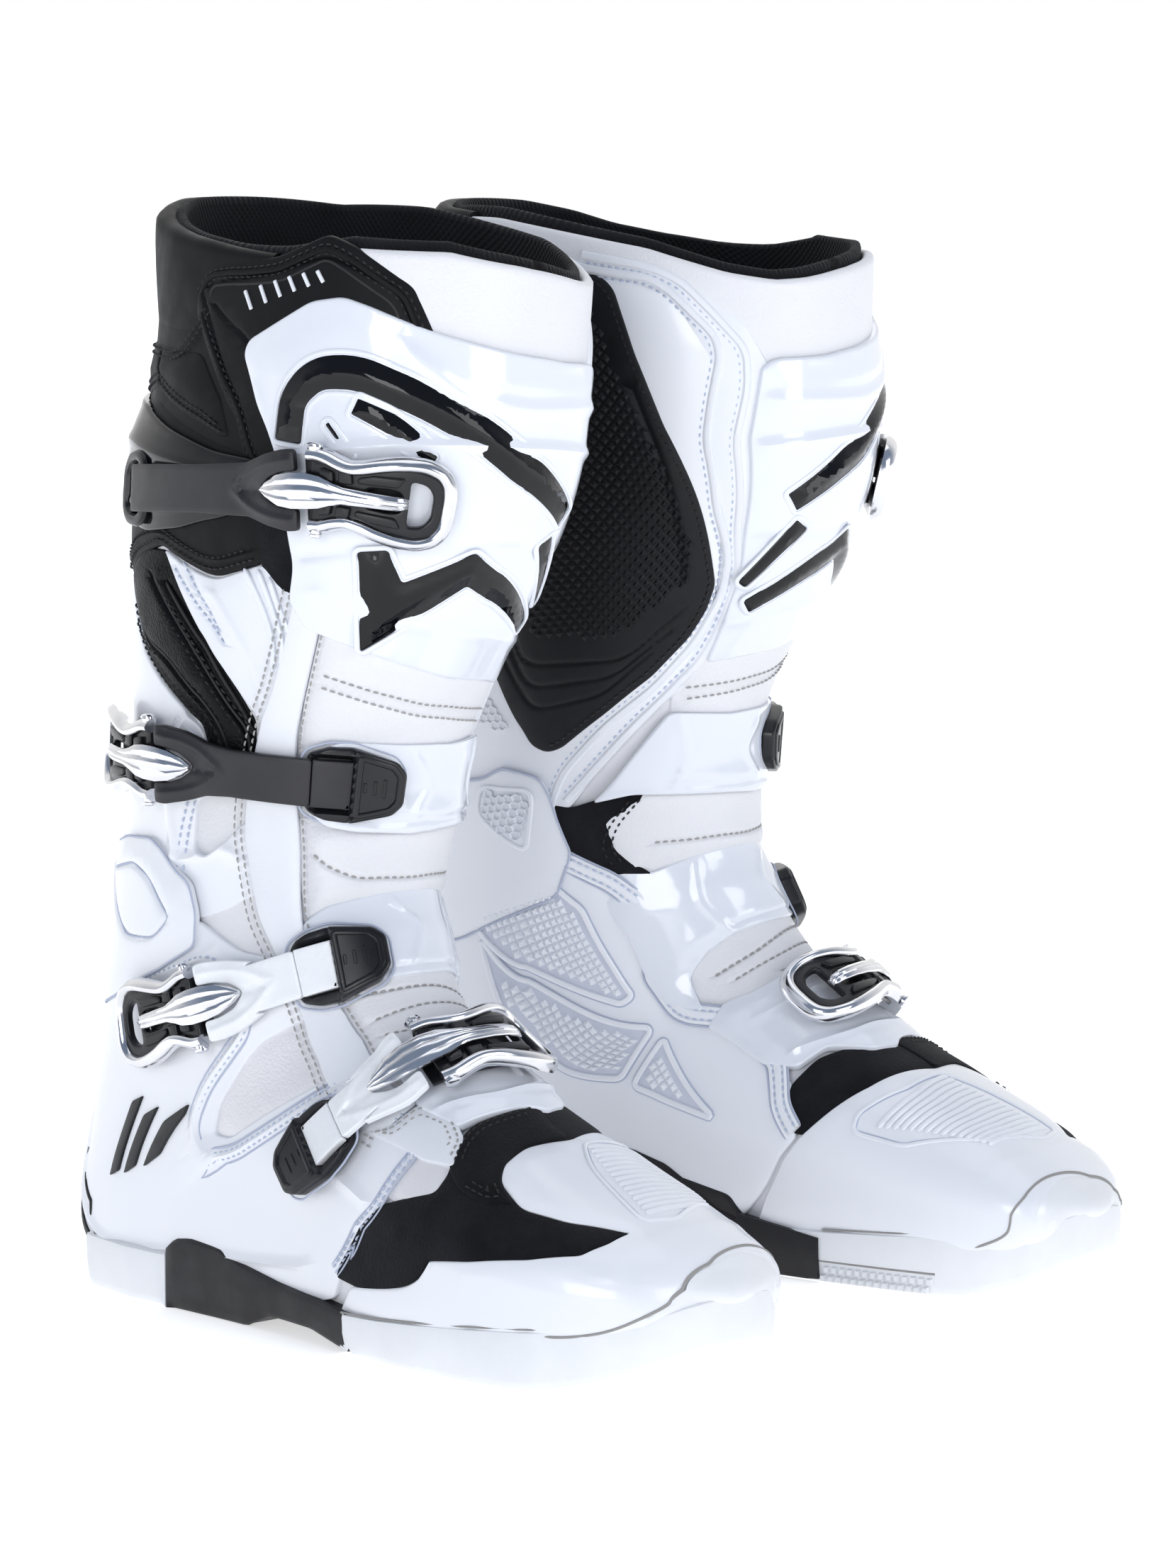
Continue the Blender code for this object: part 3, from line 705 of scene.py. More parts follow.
PEBBLE = (("cells", 900.0, 0.11), ("noise", 2200.0, 0.05))
FINE_PEBBLE = (("cells", 900.0, 0.2), ("noise", 1900.0, 0.06))
TWIST = (("noise", 3000.0, 0.1),)
FINISHES = {
    # finish: (the record's slot, its material)
    "white shell": ("white_shell", material("white_shell", (0.82, 0.835, 0.875), 0.27, coat=0.3, worn=0.0,
                                            mottle=0.0)),
    "white plate": ("white_plate", material("white_plate", (0.755, 0.78, 0.84), 0.13, coat=0.5, worn=0.0,
                                            mottle=0.0)),
    "white leather": ("white_leather", material("white_leather", (0.74, 0.742, 0.765), 0.48, grain=PEBBLE,
                                                mottle=0.01)),
    "pearl leather": ("white_leather", material("pearl_leather", (0.76, 0.75, 0.77), 0.36, metallic=0.15,
                                                grain=PEBBLE)),
    "white synthetic": ("white_leather", material("white_synthetic", (0.77, 0.787, 0.83), 0.34, mottle=0.01,
                                                  grain=(("cells", 1300.0, 0.04),))),
    "suede": ("black_suede", material("black_suede", (0.008, 0.008, 0.010), 0.95, sheen=0.08, mottle=0.5,
                                      grain=(("noise", 900.0, 0.25), ("noise", 3200.0, 0.15)), specular=0.1)),
    "black leather": ("black_leather", material("black_leather", (0.004, 0.004, 0.005), 0.46,
                                                grain=FINE_PEBBLE, mottle=0.15, specular=0.12)),
    "black synthetic": ("black_leather", material("black_synthetic", (0.005, 0.005, 0.006), 0.55, mottle=0.1,
                                                  grain=(("noise", 1700.0, 0.04),), specular=0.15)),
    "knit": ("cuff_lining", material("knit_lining", (0.007, 0.007, 0.009), 0.8, sheen=0.05,
                                     grain=(("knit", 0.62, 0.9), ("noise", 1800.0, 0.1)), mottle=0.3,
                                     specular=0.2)),
    "black plastic": ("black_plastic", material("black_plastic", (0.008, 0.008, 0.010), 0.3,
                                                grain=(("noise", 2400.0, 0.02),), mottle=0.1, specular=0.4)),
    "gloss black": ("gloss_black", material("gloss_black", (0.003, 0.003, 0.004), 0.04, coat=0.1, mottle=0.1,
                                            worn=0.01, specular=0.3)),
    "grip": ("grip_rubber", material("grip_rubber", (0.008, 0.008, 0.010), 0.5,
                                     grain=(("noise", 2000.0, 0.03),), mottle=0.15, specular=0.25)),
    "white rubber": ("white_rubber", material("white_rubber", (0.80, 0.81, 0.83), 0.42,
                                              grain=(("noise", 1400.0, 0.03),))),
    "black rubber": ("insert_rubber", material("black_rubber", (0.012, 0.011, 0.013), 0.5,
                                               grain=(("noise", 1300.0, 0.06),), mottle=0.2, specular=0.35)),
    "foam": ("insole_foam", material("insole_foam", (0.03, 0.03, 0.035), 0.9,
                                     grain=(("noise", 700.0, 0.3),))),
    "black strap": ("strap_black", material("strap_black", (0.016, 0.015, 0.018), 0.42,
                                            grain=(("noise", 2600.0, 0.03),), mottle=0.12, specular=0.45)),
    "white strap": ("strap_white", material("white_strap", (0.82, 0.835, 0.86), 0.3, coat=0.15)),
    "metal": ("buckle_metal", material("buckle_metal", (0.74, 0.74, 0.76), 0.15, metallic=1.0, mottle=0.1,
                                       worn=0.06)),
    "grey thread": ("thread", material("grey_thread", (0.36, 0.35, 0.34), 0.8, grain=TWIST)),
    "white thread": ("thread", material("white_thread", (0.50, 0.56, 0.70), 0.7, grain=TWIST)),
    "black thread": ("thread", material("black_thread", (0.005, 0.005, 0.006), 0.6, grain=TWIST)),
    "seam": ("thread", material("dark_seam", (0.30, 0.29, 0.28), 0.8)),
    # the recess floors of the medial stud patches are a darker blue-grey white: painted shade
    "patch": ("white_shell", material("patch_painted_shade", (0.62, 0.65, 0.74), 0.5, specular=0.3)),
    # thin cords in this darker blue-grey draw painted shadow lines beside raised edges, in place of real gaps
    "shade": ("white_shell", material("painted_shade_white", (0.46, 0.50, 0.62), 0.7, specular=0.2)),
}


def placed(side, word, points):
    """Boot millimetres to world metres, set by the ankle joint's own place."""
    pivot = JOINTS[f"{word}_ankle_flex"]["pos_m"]
    a, b, z = points[..., 0] - ANKLE_A, points[..., 1], points[..., 2]
    forward = a * math.cos(TOE_OUT) - b * math.sin(TOE_OUT)
    outward = a * math.sin(TOE_OUT) + b * math.cos(TOE_OUT)
    return np.stack([pivot[0] + side * outward * MM, pivot[1] - forward * MM, z * MM], -1)


def emit(name, solid, finish, rides, stands_for=(), sharp=38):
    """Makes the piece for both boots, and hangs it on its body."""
    slot, look = FINISHES[finish]
    for word, side in SIDES.items():
        mesh = bpy.data.meshes.new(f"{word}_{name}")
        mesh.from_pydata(placed(side, word, solid[0]).tolist(), [], solid[1])
        flat = mesh.uv_layers.new(name="flat")
        corners = np.zeros(len(mesh.loops), np.int32)
        mesh.loops.foreach_get("vertex_index", corners)
        flat.data.foreach_set("uv", solid[2][corners].astype(np.float32).ravel())
        work = bmesh.new()
        work.from_mesh(mesh)
        bmesh.ops.recalc_face_normals(work, faces=work.faces)
        work.to_mesh(mesh)
        work.free()
        mesh.shade_smooth()
        mesh.set_sharp_from_angle(angle=math.radians(sharp))
        mesh.materials.append(look)
        piece = bpy.data.objects.new(f"{word}_{name}", mesh)
        bpy.context.scene.collection.objects.link(piece)
        if rides == "ankle":
            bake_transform(piece)
        else:
            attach(piece, "feet" if rides == "feet" else f"{word}_{rides}")
        if stands_for:
            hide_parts(*[f"{word}_{other}" for other in stands_for])


def painted_shade_lines(paths, height, radius=0.45, closed=True):
    """Thin cords in a painted shade colour that draw the shadow line beside a raised edge, in place of a real
    gap.
    """
    made = []
    for path, aside in paths:
        way = outline(BODY, path, 3.0, 1.5) if closed else line(BODY, path)
        made.append(bead(BODY, shifted(BODY, way, aside, closed=closed), radius, height, sides=6,
                         closed=closed))
    return joined(made)


def station_ramp(first, last):
    """0 before one station and 1 after the other, as a function of places on the body's map."""
    return lambda xy: smooth((BODY.uv(xy)[1] - first) / (last - first))


# ---------------------------------------------------------------------------------------------------
# Lining and base leather


def rim_at(u):
    return np.interp((np.asarray(u, float) + 180) % 360 - 180, RIM[:, 0], RIM[:, 1])


def sleeve(first_v, last_v, outer, inner, rows):
    """A tube of the body's shape with a rolled top edge and a rolled bottom edge."""
    u = np.linspace(0, 360, 97)[:-1]
    v = np.linspace(0, 1, rows)
    rings, maps = [], []
    half, middle = (outer - inner) / 2, (outer + inner) / 2
    for degrees in u:
        top = first_v + rim_at(degrees) if first_v <= 0.3 else first_v
        down = top + (last_v - top) * v
        roll = np.radians(np.linspace(0, 180, 7))
        ring = [skin(degrees, down, outer)[::-1]]
        ring.append(skin(degrees, top - half * np.sin(roll) / STATION, middle + half * np.cos(roll)))
        ring.append(skin(degrees, down, inner))
        ring = np.concatenate(ring)
        rings.append(ring)
        tops = np.concatenate([down[::-1], np.full(len(roll), top), down]) * STATION
        maps.append(np.stack([np.full(len(ring), degrees * DEGREE), tops], -1))
    return loft(rings, closed_path=True, flat=np.array(maps))


def build_base():
    emit("inner_sock", sleeve(-0.035, 13.6, -3.4, -7.2, 90), "knit", "ankle",
         ("cuff_liner", "ankle_bellows", "foot_upper"))
    emit("base_leather", sleeve(0.45, 13.4, -0.9, -2.9, 90), "white leather", "ankle")


def rolled_top(first, last, low, thickness, swell, drop):
    """A padded band over the rim. low gives the band's lower edge, as stations, against degrees."""
    u = np.linspace(first, last, max(8, round((last - first) / 3)))
    edges = np.array(low, float)
    rings, maps = [], []
    for degrees in u:
        share = (degrees - first) / (last - first)
        tip = min(1.0, 4 * share + 0.2, 6 * (1 - share) + 0.25)
        bottom = np.interp(degrees, edges[:, 0], edges[:, 1])
        top = rim_at(degrees)
        down = np.linspace(bottom, top + 0.08, 12)
        rise = np.sin(np.linspace(0, math.pi * 0.5, 12)) * swell * tip
        outer = skin(degrees, down, 0.2 + rise)
        middle, half = (0.2 + swell * tip - thickness) / 2, (0.2 + swell * tip + thickness) / 2
        roll = np.radians(np.linspace(10, 170, 8))
        crown = skin(degrees, top + 0.05 - half * np.sin(roll) / CROWN_STATION, middle + half * np.cos(roll))
        back = skin(degrees, np.linspace(top + 0.1, top + drop, 4), -thickness)
        under = skin(degrees, np.linspace(top + drop, bottom, 4), -1.6)
        ring = np.concatenate([outer, crown, back, under])
        rings.append(ring)
        tops = np.concatenate([down, np.full(len(roll), top), np.linspace(top, top + drop, 4),
                               np.linspace(top + drop, bottom, 4)]) * STATION
        maps.append(np.stack([np.full(len(ring), degrees * DEGREE), tops], -1))
    return loft(rings, flat=np.array(maps))


def build_collar():
    low = [(82, 0.5), (92, 0.7), (104, 0.8), (136, 0.8), (180, 0.84), (225, 0.84), (240, 0.6)]
    emit("rear_collar", rolled_top(82, 238, low, 5.4, 3.6, 0.3), "black synthetic", "cuff")
    front = [(-124, 0.8), (-90, 0.5), (-60, 0.6), (-30, 1.0), (20, 1.1), (66, 0.9)]
    emit("front_collar", rolled_top(-124, 66, front, 2.8, 1.3, 0.1), "white leather", "cuff")
    seam = line(BODY, [(97, 0.35), (105, 0.66), (112, 0.8), (136, 0.8), (180, 0.82), (225, 0.82), (243, 0.7)])
    emit("collar_stitches", joined(side_rows(seam, (4.0, 6.4), 1.9)), "black thread", "cuff")


# ---------------------------------------------------------------------------------------------------
# Cuff


HEX = [(105, 0.46), (99, 0.26), (80, 0.0), (66, -0.27), (58, -0.22), (40, 0.06), (32, 0.55), (44, 0.95),
       (62, 1.2), (74, 1.9), (84, 1.62), (88, 1.30), (96, 0.90), (103, 0.62)]
REAR_UPPER = [(100, 0.84), (112, 0.84), (136, 0.84), (180, 0.86), (205, 0.86), (205, 1.34), (180, 1.38),
              (136, 1.20), (123, 1.12), (108, 1.26), (97, 1.36), (89, 1.46), (92, 1.16)]
SOFT_BAND = [(176, 2.60), (150, 2.62), (136, 2.58), (124, 2.42), (108, 2.32), (88, 2.54), (74, 2.42),
             (77, 2.05), (80, 1.60), (98, 1.42), (120, 1.22), (150, 1.25), (176, 1.4)]
REAR_LEATHER = [(106, 2.36), (99, 2.64), (86, 3.16), (68, 3.76), (66, 4.2), (78, 4.4), (84, 4.1), (88, 3.8),
                (97, 3.6), (107, 3.40), (119, 3.16), (130, 2.80), (134, 2.5), (124, 2.34)]
SHIN_PLATE = [(87, 0.80), (86, 0.70), (69, 0.36), (60, 0.28), (52, 0.33), (34, 0.48), (10, 0.62), (-10, 0.72),
              (-30, 0.76), (-35, 0.84), (-36, 1.1), (-38, 1.5), (-34, 2.3), (-30, 2.7), (-30, 3.1),
              (-30, 3.5), (2, 3.40), (27, 3.20), (44, 3.04), (56, 2.92), (63, 2.70), (64, 2.44), (68, 2.16),
              (74, 1.60), (78, 1.36), (82, 1.16)]
CUFF_SHELL = [(130, 2.60), (128, 2.84), (117, 3.20), (105, 3.44), (95, 3.64), (87, 3.86), (82, 4.2),
              (81, 4.42), (88, 4.5), (88, 4.97), (84, 5.08), (78, 5.0), (68, 4.74), (60, 4.9), (58, 5.3),
              (60, 5.6), (66, 5.62), (74, 5.70), (84, 5.72), (98, 5.6), (120, 5.3), (138, 5.1), (180, 4.95),
              (222, 5.1), (248, 5.3), (262, 5.55), (274, 5.4), (282, 5.1), (286, 5.0), (302, 4.42),
              (318, 3.92), (325, 3.55), (325, 3.04), (324, 2.72), (319, 2.32), (313, 1.52), (315, 1.10),
              (315, 0.80), (306, 0.56), (296, 0.30), (286, 0.24), (262, 0.30), (246, 0.75), (206, 0.92),
              (200, 1.36), (180, 1.42), (172, 1.5), (172, 2.62), (150, 2.66)]
GRIP = [(-92, 0.30), (-82, 0.24), (-78, 0.34), (-72, 0.80), (-63, 1.40), (-51, 2.04), (-37, 2.76),
        (-37, 2.98), (-40, 3.26), (-48, 3.62), (-61, 3.98), (-76, 4.34), (-81, 4.38), (-86, 4.30),
        (-99, 3.60), (-108, 3.0), (-110, 2.0), (-106, 1.0), (-98, 0.4)]
LOWER_SHIN = [(47, 4.30), (44, 4.10), (36, 3.98), (12, 4.05), (-10, 4.08), (-32, 4.03), (-38, 4.02),
              (-46, 4.30), (-60, 4.80), (-66, 4.98), (-52, 4.93), (-34, 5.0), (-21, 5.04), (4, 5.10),
              (27, 5.0), (38, 4.90), (45, 4.72), (48, 4.5)]


def build_side_panel():
    grooves = [([(100, 0.42), (80, 0.16), (66, -0.1), (58, -0.06), (44, 0.12), (38, 0.5)], 0.9, -0.9),
               ([(100, 0.48), (92, 0.92), (85, 1.35), (82, 1.7)], 0.9, -0.9),
               ([(96, 0.52), (86, 0.72), (82, 0.9)], 0.8, -1.0)]
    emit("side_panel", panel(BODY, HEX, -0.8, 1.6, dome=0.9, reach=3.0, lines=grooves), "black synthetic",
         "cuff")
    rows = border_rows(HEX, 0, 6, (2.6, 6.0), 2.2) + border_rows(HEX, 9, 13, (2.6, 5.6), 2.2)
    emit("side_panel_stitches", joined(rows), "black thread", "cuff")
    lips = [bead(BODY, border(BODY, HEX, 4.3, 0, 6), 1.1, 2.3),
            bead(BODY, border(BODY, HEX, 4.1, 9, 13), 1.1, 2.3)]
    emit("side_panel_lip", joined(lips), "black synthetic", "cuff")
    emit("side_panel_groove", bead(BODY, border(BODY, HEX, 8.6, 0, 6), 0.6, 2.25), "black thread", "cuff")
    bars = [stroke([(u, v), (u - 2.0, v + 0.12)], 0.7)
            for u, v in zip(np.linspace(88, 68, 6), np.linspace(0.38, 0.06, 6))]
    ticks = [panel(BODY, bar, 2.0, 3.3, edge=0.3, rounding=0.3, spacing=9) for bar in bars]
    emit("side_panel_ticks", joined(ticks), "white synthetic", "cuff")


def build_rear():
    rear = [(82, 0.6), (80, 1.7), (110, 1.62), (150, 1.56), (206, 1.56), (214, 1.2), (214, 0.6), (150, 0.55),
            (110, 0.5)]
    emit("rear_base", panel(BODY, rear, -1.0, 0.5, dome=0.4, reach=4), "black synthetic", "cuff")
    upper = panel(BODY, REAR_UPPER, -0.4, 1.3, dome=1.2, reach=8,
                  lines=[([(124, 0.88), (122, 1.1)], 0.9, -1.6), ([(150, 0.88), (150, 1.2)], 0.9, -1.6)])
    emit("rear_upper_pad", upper, "black synthetic", "cuff")
    rows = border_rows(REAR_UPPER, 6, 11, (2.2, 4.6), 1.9)
    emit("rear_upper_stitches", joined(rows), "black thread", "cuff")


def build_calf_leather():
    ridge = [(150, 2.5), (136, 2.47), (124, 2.31), (108, 2.21), (88, 2.43), (77, 2.33)]
    band = panel(BODY, SOFT_BAND, -0.8, 1.0, dome=0.5, reach=4, lines=[(ridge, 1.0, 0.7)])
    emit("soft_band", band, "black synthetic", "cuff")
    rows = border_rows(SOFT_BAND, 1, 6, (2.4,), 1.75) + border_rows(SOFT_BAND, 1, 6, (6.6,), 1.85)
    emit("soft_band_stitches", joined(rows), "black thread", "cuff")
    velcro = [(80, 2.10), (75, 2.42), (69, 2.60), (62, 2.74), (60, 2.5), (66, 2.2), (72, 1.8)]
    emit("closure_pile", panel(BODY, velcro, -0.8, 0.9, dome=0.6, reach=3), "suede", "cuff")

    pleats = [
        ([(112, 2.56), (100, 2.88), (93, 3.08), (87, 3.32), (78, 3.62), (70, 3.84), (68, 4.1)], 1.3, -2.8),
        ([(105, 2.60), (96, 2.86), (89, 3.08), (83, 3.32), (74, 3.62), (67, 3.90)], 1.1, -1.4),
        ([(124, 2.86), (114, 3.08), (102, 3.22), (93, 3.44), (87, 3.60), (80, 3.82), (75, 4.15)], 1.3, -2.8),
    ]
    leather = panel(BODY, REAR_LEATHER, -0.8, 0.2, dome=2.4, reach=8, lines=pleats, spacing=3.5)
    emit("rear_leather", leather, "black leather", "cuff")
    folds = [bead(BODY, line(BODY, path), 0.7, 0.9) for path, _, _ in pleats]
    emit("rear_leather_folds", joined(folds), "black thread", "cuff")
    rows = []
    for path, _, _ in pleats[::2]:
        middle = line(BODY, path)
        rows += [stitches(BODY, shifted(BODY, middle, aside)[2:-2], 1.9, pitch=3.6, length=2.6)
                 for aside in (-2.3, 2.3)]
    rows.append(stitches(BODY, border(BODY, REAR_LEATHER, 2.4, 5, 11), 1.3))
    emit("rear_leather_stitches", joined(rows), "black thread", "cuff")


def build_flank():
    flank = [(107, 2.34), (98, 2.46), (88, 2.56), (74, 2.42), (66, 2.56), (58, 2.72), (58, 3.08), (58, 3.5),
             (60, 3.74), (66, 3.78), (86, 3.16), (99, 2.66)]
    facets = [([(88, 2.66), (72, 3.2), (66, 3.6)], 1.6, 0.8), ([(102, 2.46), (81, 3.10)], 0.8, -0.9),
              ([(98, 2.42), (84, 2.98)], 0.8, -0.9)]
    emit("flank_panel", panel(BODY, flank, -0.8, 0.9, dome=0.6, reach=5, lines=facets), "white synthetic",
         "cuff")
    rows = [stitches(BODY, line(BODY, path), 1.1) for path, _, _ in facets[1:]]
    emit("flank_stitches", joined(rows), "white thread", "cuff")
    piping = [bead(BODY, line(BODY, path), 1.3, 1.7) for path in
              ([(79, 2.46), (72, 2.72), (66, 3.0), (64, 3.3)], [(75, 2.46), (69, 2.72), (63, 3.0), (61, 3.3)],
               [(71, 2.52), (66, 2.76), (60, 3.0)])]
    emit("flank_piping", joined(piping), "white plate", "cuff")


def build_shin():
    shin_pad = [(52, 2.85), (52, 3.6), (50, 4.2), (30, 4.25), (0, 4.25), (-36, 4.15), (-40, 3.6), (-34, 3.0),
                (0, 3.0), (30, 2.85)]
    channel = [([(48, 3.38), (30, 3.54), (9, 3.70), (-12, 3.78), (-34, 3.82)], 2.6, -1.3)]
    emit("shin_leather", panel(BODY, shin_pad, -1.0, 0.3, dome=1.8, reach=7, lines=channel),
         "white leather", "cuff")
    rows = side_rows(line(BODY, channel[0][0]), (-2.4, 2.4), 2.0)
    emit("shin_leather_stitches", joined(rows), "grey thread", "cuff")

    ledges = [([(70, 1.54), (44, 1.42), (16, 1.42), (-14, 1.50), (-34, 1.56)], 2.6, 1.5),
              ([(62, 2.34), (38, 2.26), (10, 2.3), (-30, 2.4)], 3.0, -1.1),
              ([(40, 0.66), (24, 0.98), (4, 1.12), (-30, 1.14)], 3.5, 1.4),
              ([(56, 2.62), (30, 2.84), (2, 3.0), (-28, 3.1)], 3.0, 1.1)]
    shin = panel(BODY, SHIN_PLATE, 0.9, 3.6, edge=1.1, dome=1.3, reach=14, lines=ledges, spacing=3.5)
    emit("shin_guard", shin, "white plate", "cuff", ("shin_plate",))
    build_inlays()


def build_cuff_shell():
    tuck = station_ramp(4.95, 5.35)
    ridges = [([(92, 3.72), (98, 4.1), (98, 4.5), (94, 5.0)], 2.2, 1.4),
              ([(64, 5.3), (76, 5.0), (92, 5.10), (110, 4.9)], 2.2, 1.4),
              ([(150, 2.7), (148, 3.6), (140, 4.6), (136, 5.0)], 3.0, 0.8),
              ([(210, 1.4), (212, 3.0), (222, 4.6)], 3.0, 0.8)]
    shell = panel(BODY, CUFF_SHELL, lambda xy: -1.0 - 0.8 * tuck(xy), lambda xy: 1.3 - 1.3 * tuck(xy),
                  edge=1.0, dome=0.5, reach=6, spacing=5, lines=ridges)
    emit("cuff_body", shell, "white shell", "cuff", ("cuff_shell",))
    rows = [stitches(BODY, line(BODY, [(u, 4.5), (u + 2, 4.8), (u + 3, 5.2)]), 1.9) for u in (90, 87.5)]
    emit("cuff_body_stitches", joined(rows), "white thread", "cuff")
    badge = [(97, 3.72), (88, 3.92), (86, 4.02), (92, 4.06), (99, 3.86)]
    beads = [bead(BODY, outline(BODY, badge, 1.5, 1.2), 0.45, 1.9, closed=True),
             bead(BODY, line(BODY, [(96, 3.80), (90, 3.98)], 2), 0.5, 1.9),
             bead(BODY, line(BODY, [(98, 3.84), (92, 4.02)], 2), 0.5, 1.9)]
    emit("cuff_badge", joined(beads), "white shell", "cuff")


def build_lower_shin():
    flare = station_ramp(4.5, 5.1)
    ridges = [([(44, 4.62), (20, 4.90), (-10, 4.94), (-40, 4.86)], 2.4, -0.8),
              ([(6, 4.2), (-2, 4.5), (4, 4.86)], 2.2, 0.8),
              ([(-34, 4.1), (-30, 4.5), (-36, 4.9)], 2.5, 0.7)]
    lower = panel(BODY, LOWER_SHIN, lambda xy: 0.8 + 3.0 * flare(xy), lambda xy: 3.7 + 2.4 * flare(xy),
                  edge=1.0, dome=0.9, reach=8, lines=ridges)
    emit("lower_shin_guard", lower, "white plate", "cuff", ("lower_shin_plate",))


def build_inlays():
    """Gloss black bars and chevrons let into the shin plate."""
    arch = [(71, 1.44), (71, 1.06), (65, 0.86), (54, 0.83), (32, 1.06), (12, 1.40), (-5, 1.80), (-21, 2.08)]
    bars = [
        stroke(arch, 6.4, (0.85, 0.7), 12.0),
        stroke([(54, 1.10), (43, 1.24), (29, 1.56)], 4.0, (0.9, 0.4), 6.0),
        stroke([(61, 1.26), (53, 1.54)], 2.8, (0.4, 0.4)),
        stroke([(42, 2.30), (34, 2.82), (10, 2.46), (-24, 2.96)], 5.2, (1.0, 0.6)),
        stroke([(-14, 2.26), (-29, 2.76)], 5.0, (0.8, 0.4)),
    ]
    made = [panel(BODY, places, 3.4, 5.0, edge=0.8, rounding=1.2, spacing=2.5, dome=2.1, reach=5.6)
            for places in bars]
    emit("shin_inlays", joined(made), "gloss black", "cuff", sharp=30)
    lips = [bead(BODY, shifted(BODY, outline(BODY, places, 1.6, 2.0), -1.0, closed=True), 1.0, 4.7,
                 closed=True) for places in bars]
    emit("shin_inlay_lips", joined(lips), "white plate", "cuff")


def build_medial_cuff():
    emit("grip_pad", panel(BODY, GRIP, 0.9, 2.5, edge=1.0, dome=0.35, reach=3,
                           lines=[([(-72, 1.1), (-56, 2.2), (-48, 2.7)], 1.2, -0.8),
                                  ([(-104, 2.5), (-90, 3.5), (-60, 3.45), (-44, 2.95)], 1.0, -0.7),
                                  ([(-102, 2.9), (-88, 3.72), (-62, 3.62), (-46, 3.15)], 1.0, -0.7),
                                  ([(-99, 3.3), (-86, 3.94), (-64, 3.8), (-50, 3.36)], 1.0, -0.7)]),
         "grip", "cuff", ("grip_panel",))
    field = [(-91, 0.46), (-83, 0.42), (-75, 0.95), (-62, 1.7), (-48, 2.4), (-44, 2.72), (-62, 3.26),
             (-89, 3.3), (-103, 2.4), (-104, 1.6), (-99, 0.8)]
    emit("grip_studs", pyramids(BODY, field, 3.3, 2.55, 1.1, turn=0.7), "grip", "cuff", sharp=20)
    emit("grip_stitches", stitches(BODY, border(BODY, GRIP, 2.4, 0, 12), 2.9), "black thread", "cuff")
    seam = [(-97, 0.2), (-80, 0.20), (-69, 0.18), (-63, 0.28), (-50, 0.60), (-48, 0.76), (-50, 1.16),
            (-51, 1.52), (-45, 2.12), (-36, 2.52), (-33, 2.84), (-37, 3.3), (-46, 3.74), (-62, 4.16),
            (-76, 4.62), (-80, 4.95)]
    outer = [(-86, 0.06), (-69, 0.05), (-60, 0.16), (-50, 0.44), (-40, 0.70), (-39, 1.04), (-42, 1.52),
             (-36, 2.32), (-30, 2.68), (-29, 3.04), (-32, 3.50), (-42, 3.88), (-58, 4.38), (-75, 4.92)]
    profile = [(-1.7, 0.6), (-1.5, 1.9), (-0.8, 2.5), (0.8, 2.5), (1.5, 1.9), (1.7, 0.6)]
    ridges, threads = [], []
    for path in (seam, outer):
        way = line(BODY, path)
        ridges.append(ribbon(BODY, way, profile))
        threads.append(stitches(BODY, shifted(BODY, way, 2.6), 1.55))
    emit("medial_seams", joined(ridges), "white synthetic", "cuff")
    emit("medial_seam_stitches", joined(threads), "white thread", "cuff")
    front = [(-30, 0.9), (-30, 1.6), (-27, 2.3), (-24, 2.9), (-24, 3.5), (-40, 3.9), (-66, 4.7), (-76, 4.95),
             (-80, 4.7), (-60, 4.2), (-40, 3.6), (-33, 3.0), (-40, 2.4), (-54, 1.5), (-52, 0.9), (-64, 0.3),
             (-100, 0.2), (-90, 0.02), (-60, 0.06), (-40, 0.5)]
    emit("medial_band", panel(BODY, front, -0.8, 1.2, dome=0.7, reach=5), "white synthetic", "cuff")
    emit("cuff_honeycomb", honeycomb(BODY, [(-101, 3.74), (-91, 4.16), (-108, 4.06)], 3.4, 1.9, 0.9),
         "white shell", "cuff", sharp=20)


def build_bracket():
    places = [(168, 1.3), (150, 1.2), (128, 1.26), (110, 1.40), (99, 1.48), (90, 1.56), (80, 1.60), (79, 1.8),
              (81, 2.02), (90, 2.10), (99, 2.18), (114, 2.22), (136, 2.12), (150, 2.1), (168, 2.1)]
    solid = panel(BODY, places, 1.4, 3.6, edge=1.3, dome=1.6, reach=9, spacing=3.0,
                  lines=[([(160, 1.55), (128, 1.52), (104, 1.62), (84, 1.7)], 3.0, 1.3),
                         ([(160, 1.92), (128, 2.0), (104, 2.02), (86, 1.94)], 3.0, 1.0)])
    emit("calf_bracket_body", solid, "gloss black", "cuff", ("calf_bracket",))
    route = ROUTES["calf"]
    socket = [(-5, -11), (4, -12), (9, -9), (9, 9), (4, 12), (-5, 11), (-10, 7), (-10, -7)]
    lip = bead(route, outline(route, socket, 3, 1.2), 2.2, 5.6, closed=True)
    emit("calf_strap_socket", lip, "black plastic", "cuff")


# ---------------------------------------------------------------------------------------------------
# Ankle, foot and toe


PLACKET_REAR = [(62, 2.62), (62, 3.08), (63, 3.48), (65, 3.72), (66, 4.04), (68, 4.56), (68, 4.92),
                (64, 5.48), (61, 5.9), (57, 6.28), (52, 6.92), (50, 7.48), (50, 8.12), (55, 8.8), (58, 9.4),
                (57, 9.9)]
PLACKET_FRONT = [(52, 2.80), (52, 3.32), (52, 3.88), (51, 4.16), (49, 4.68), (47, 5.2), (46, 5.64),
                 (45, 6.20), (40, 7.1), (37, 7.72), (36, 8.24), (38, 8.76), (39, 9.3), (37, 9.85)]
ARM = [(150, 5.5), (144, 5.0), (138, 4.84), (120, 4.80), (104, 4.84), (98, 4.96), (87, 5.34), (84, 5.66),
       (84, 6.0), (96, 6.1), (122, 6.14), (150, 6.1)]
WINDOW = [(46, 7.46), (64, 7.44), (70, 7.56), (80, 7.84), (85, 8.12), (83, 8.30), (69, 8.38), (46, 8.56)]
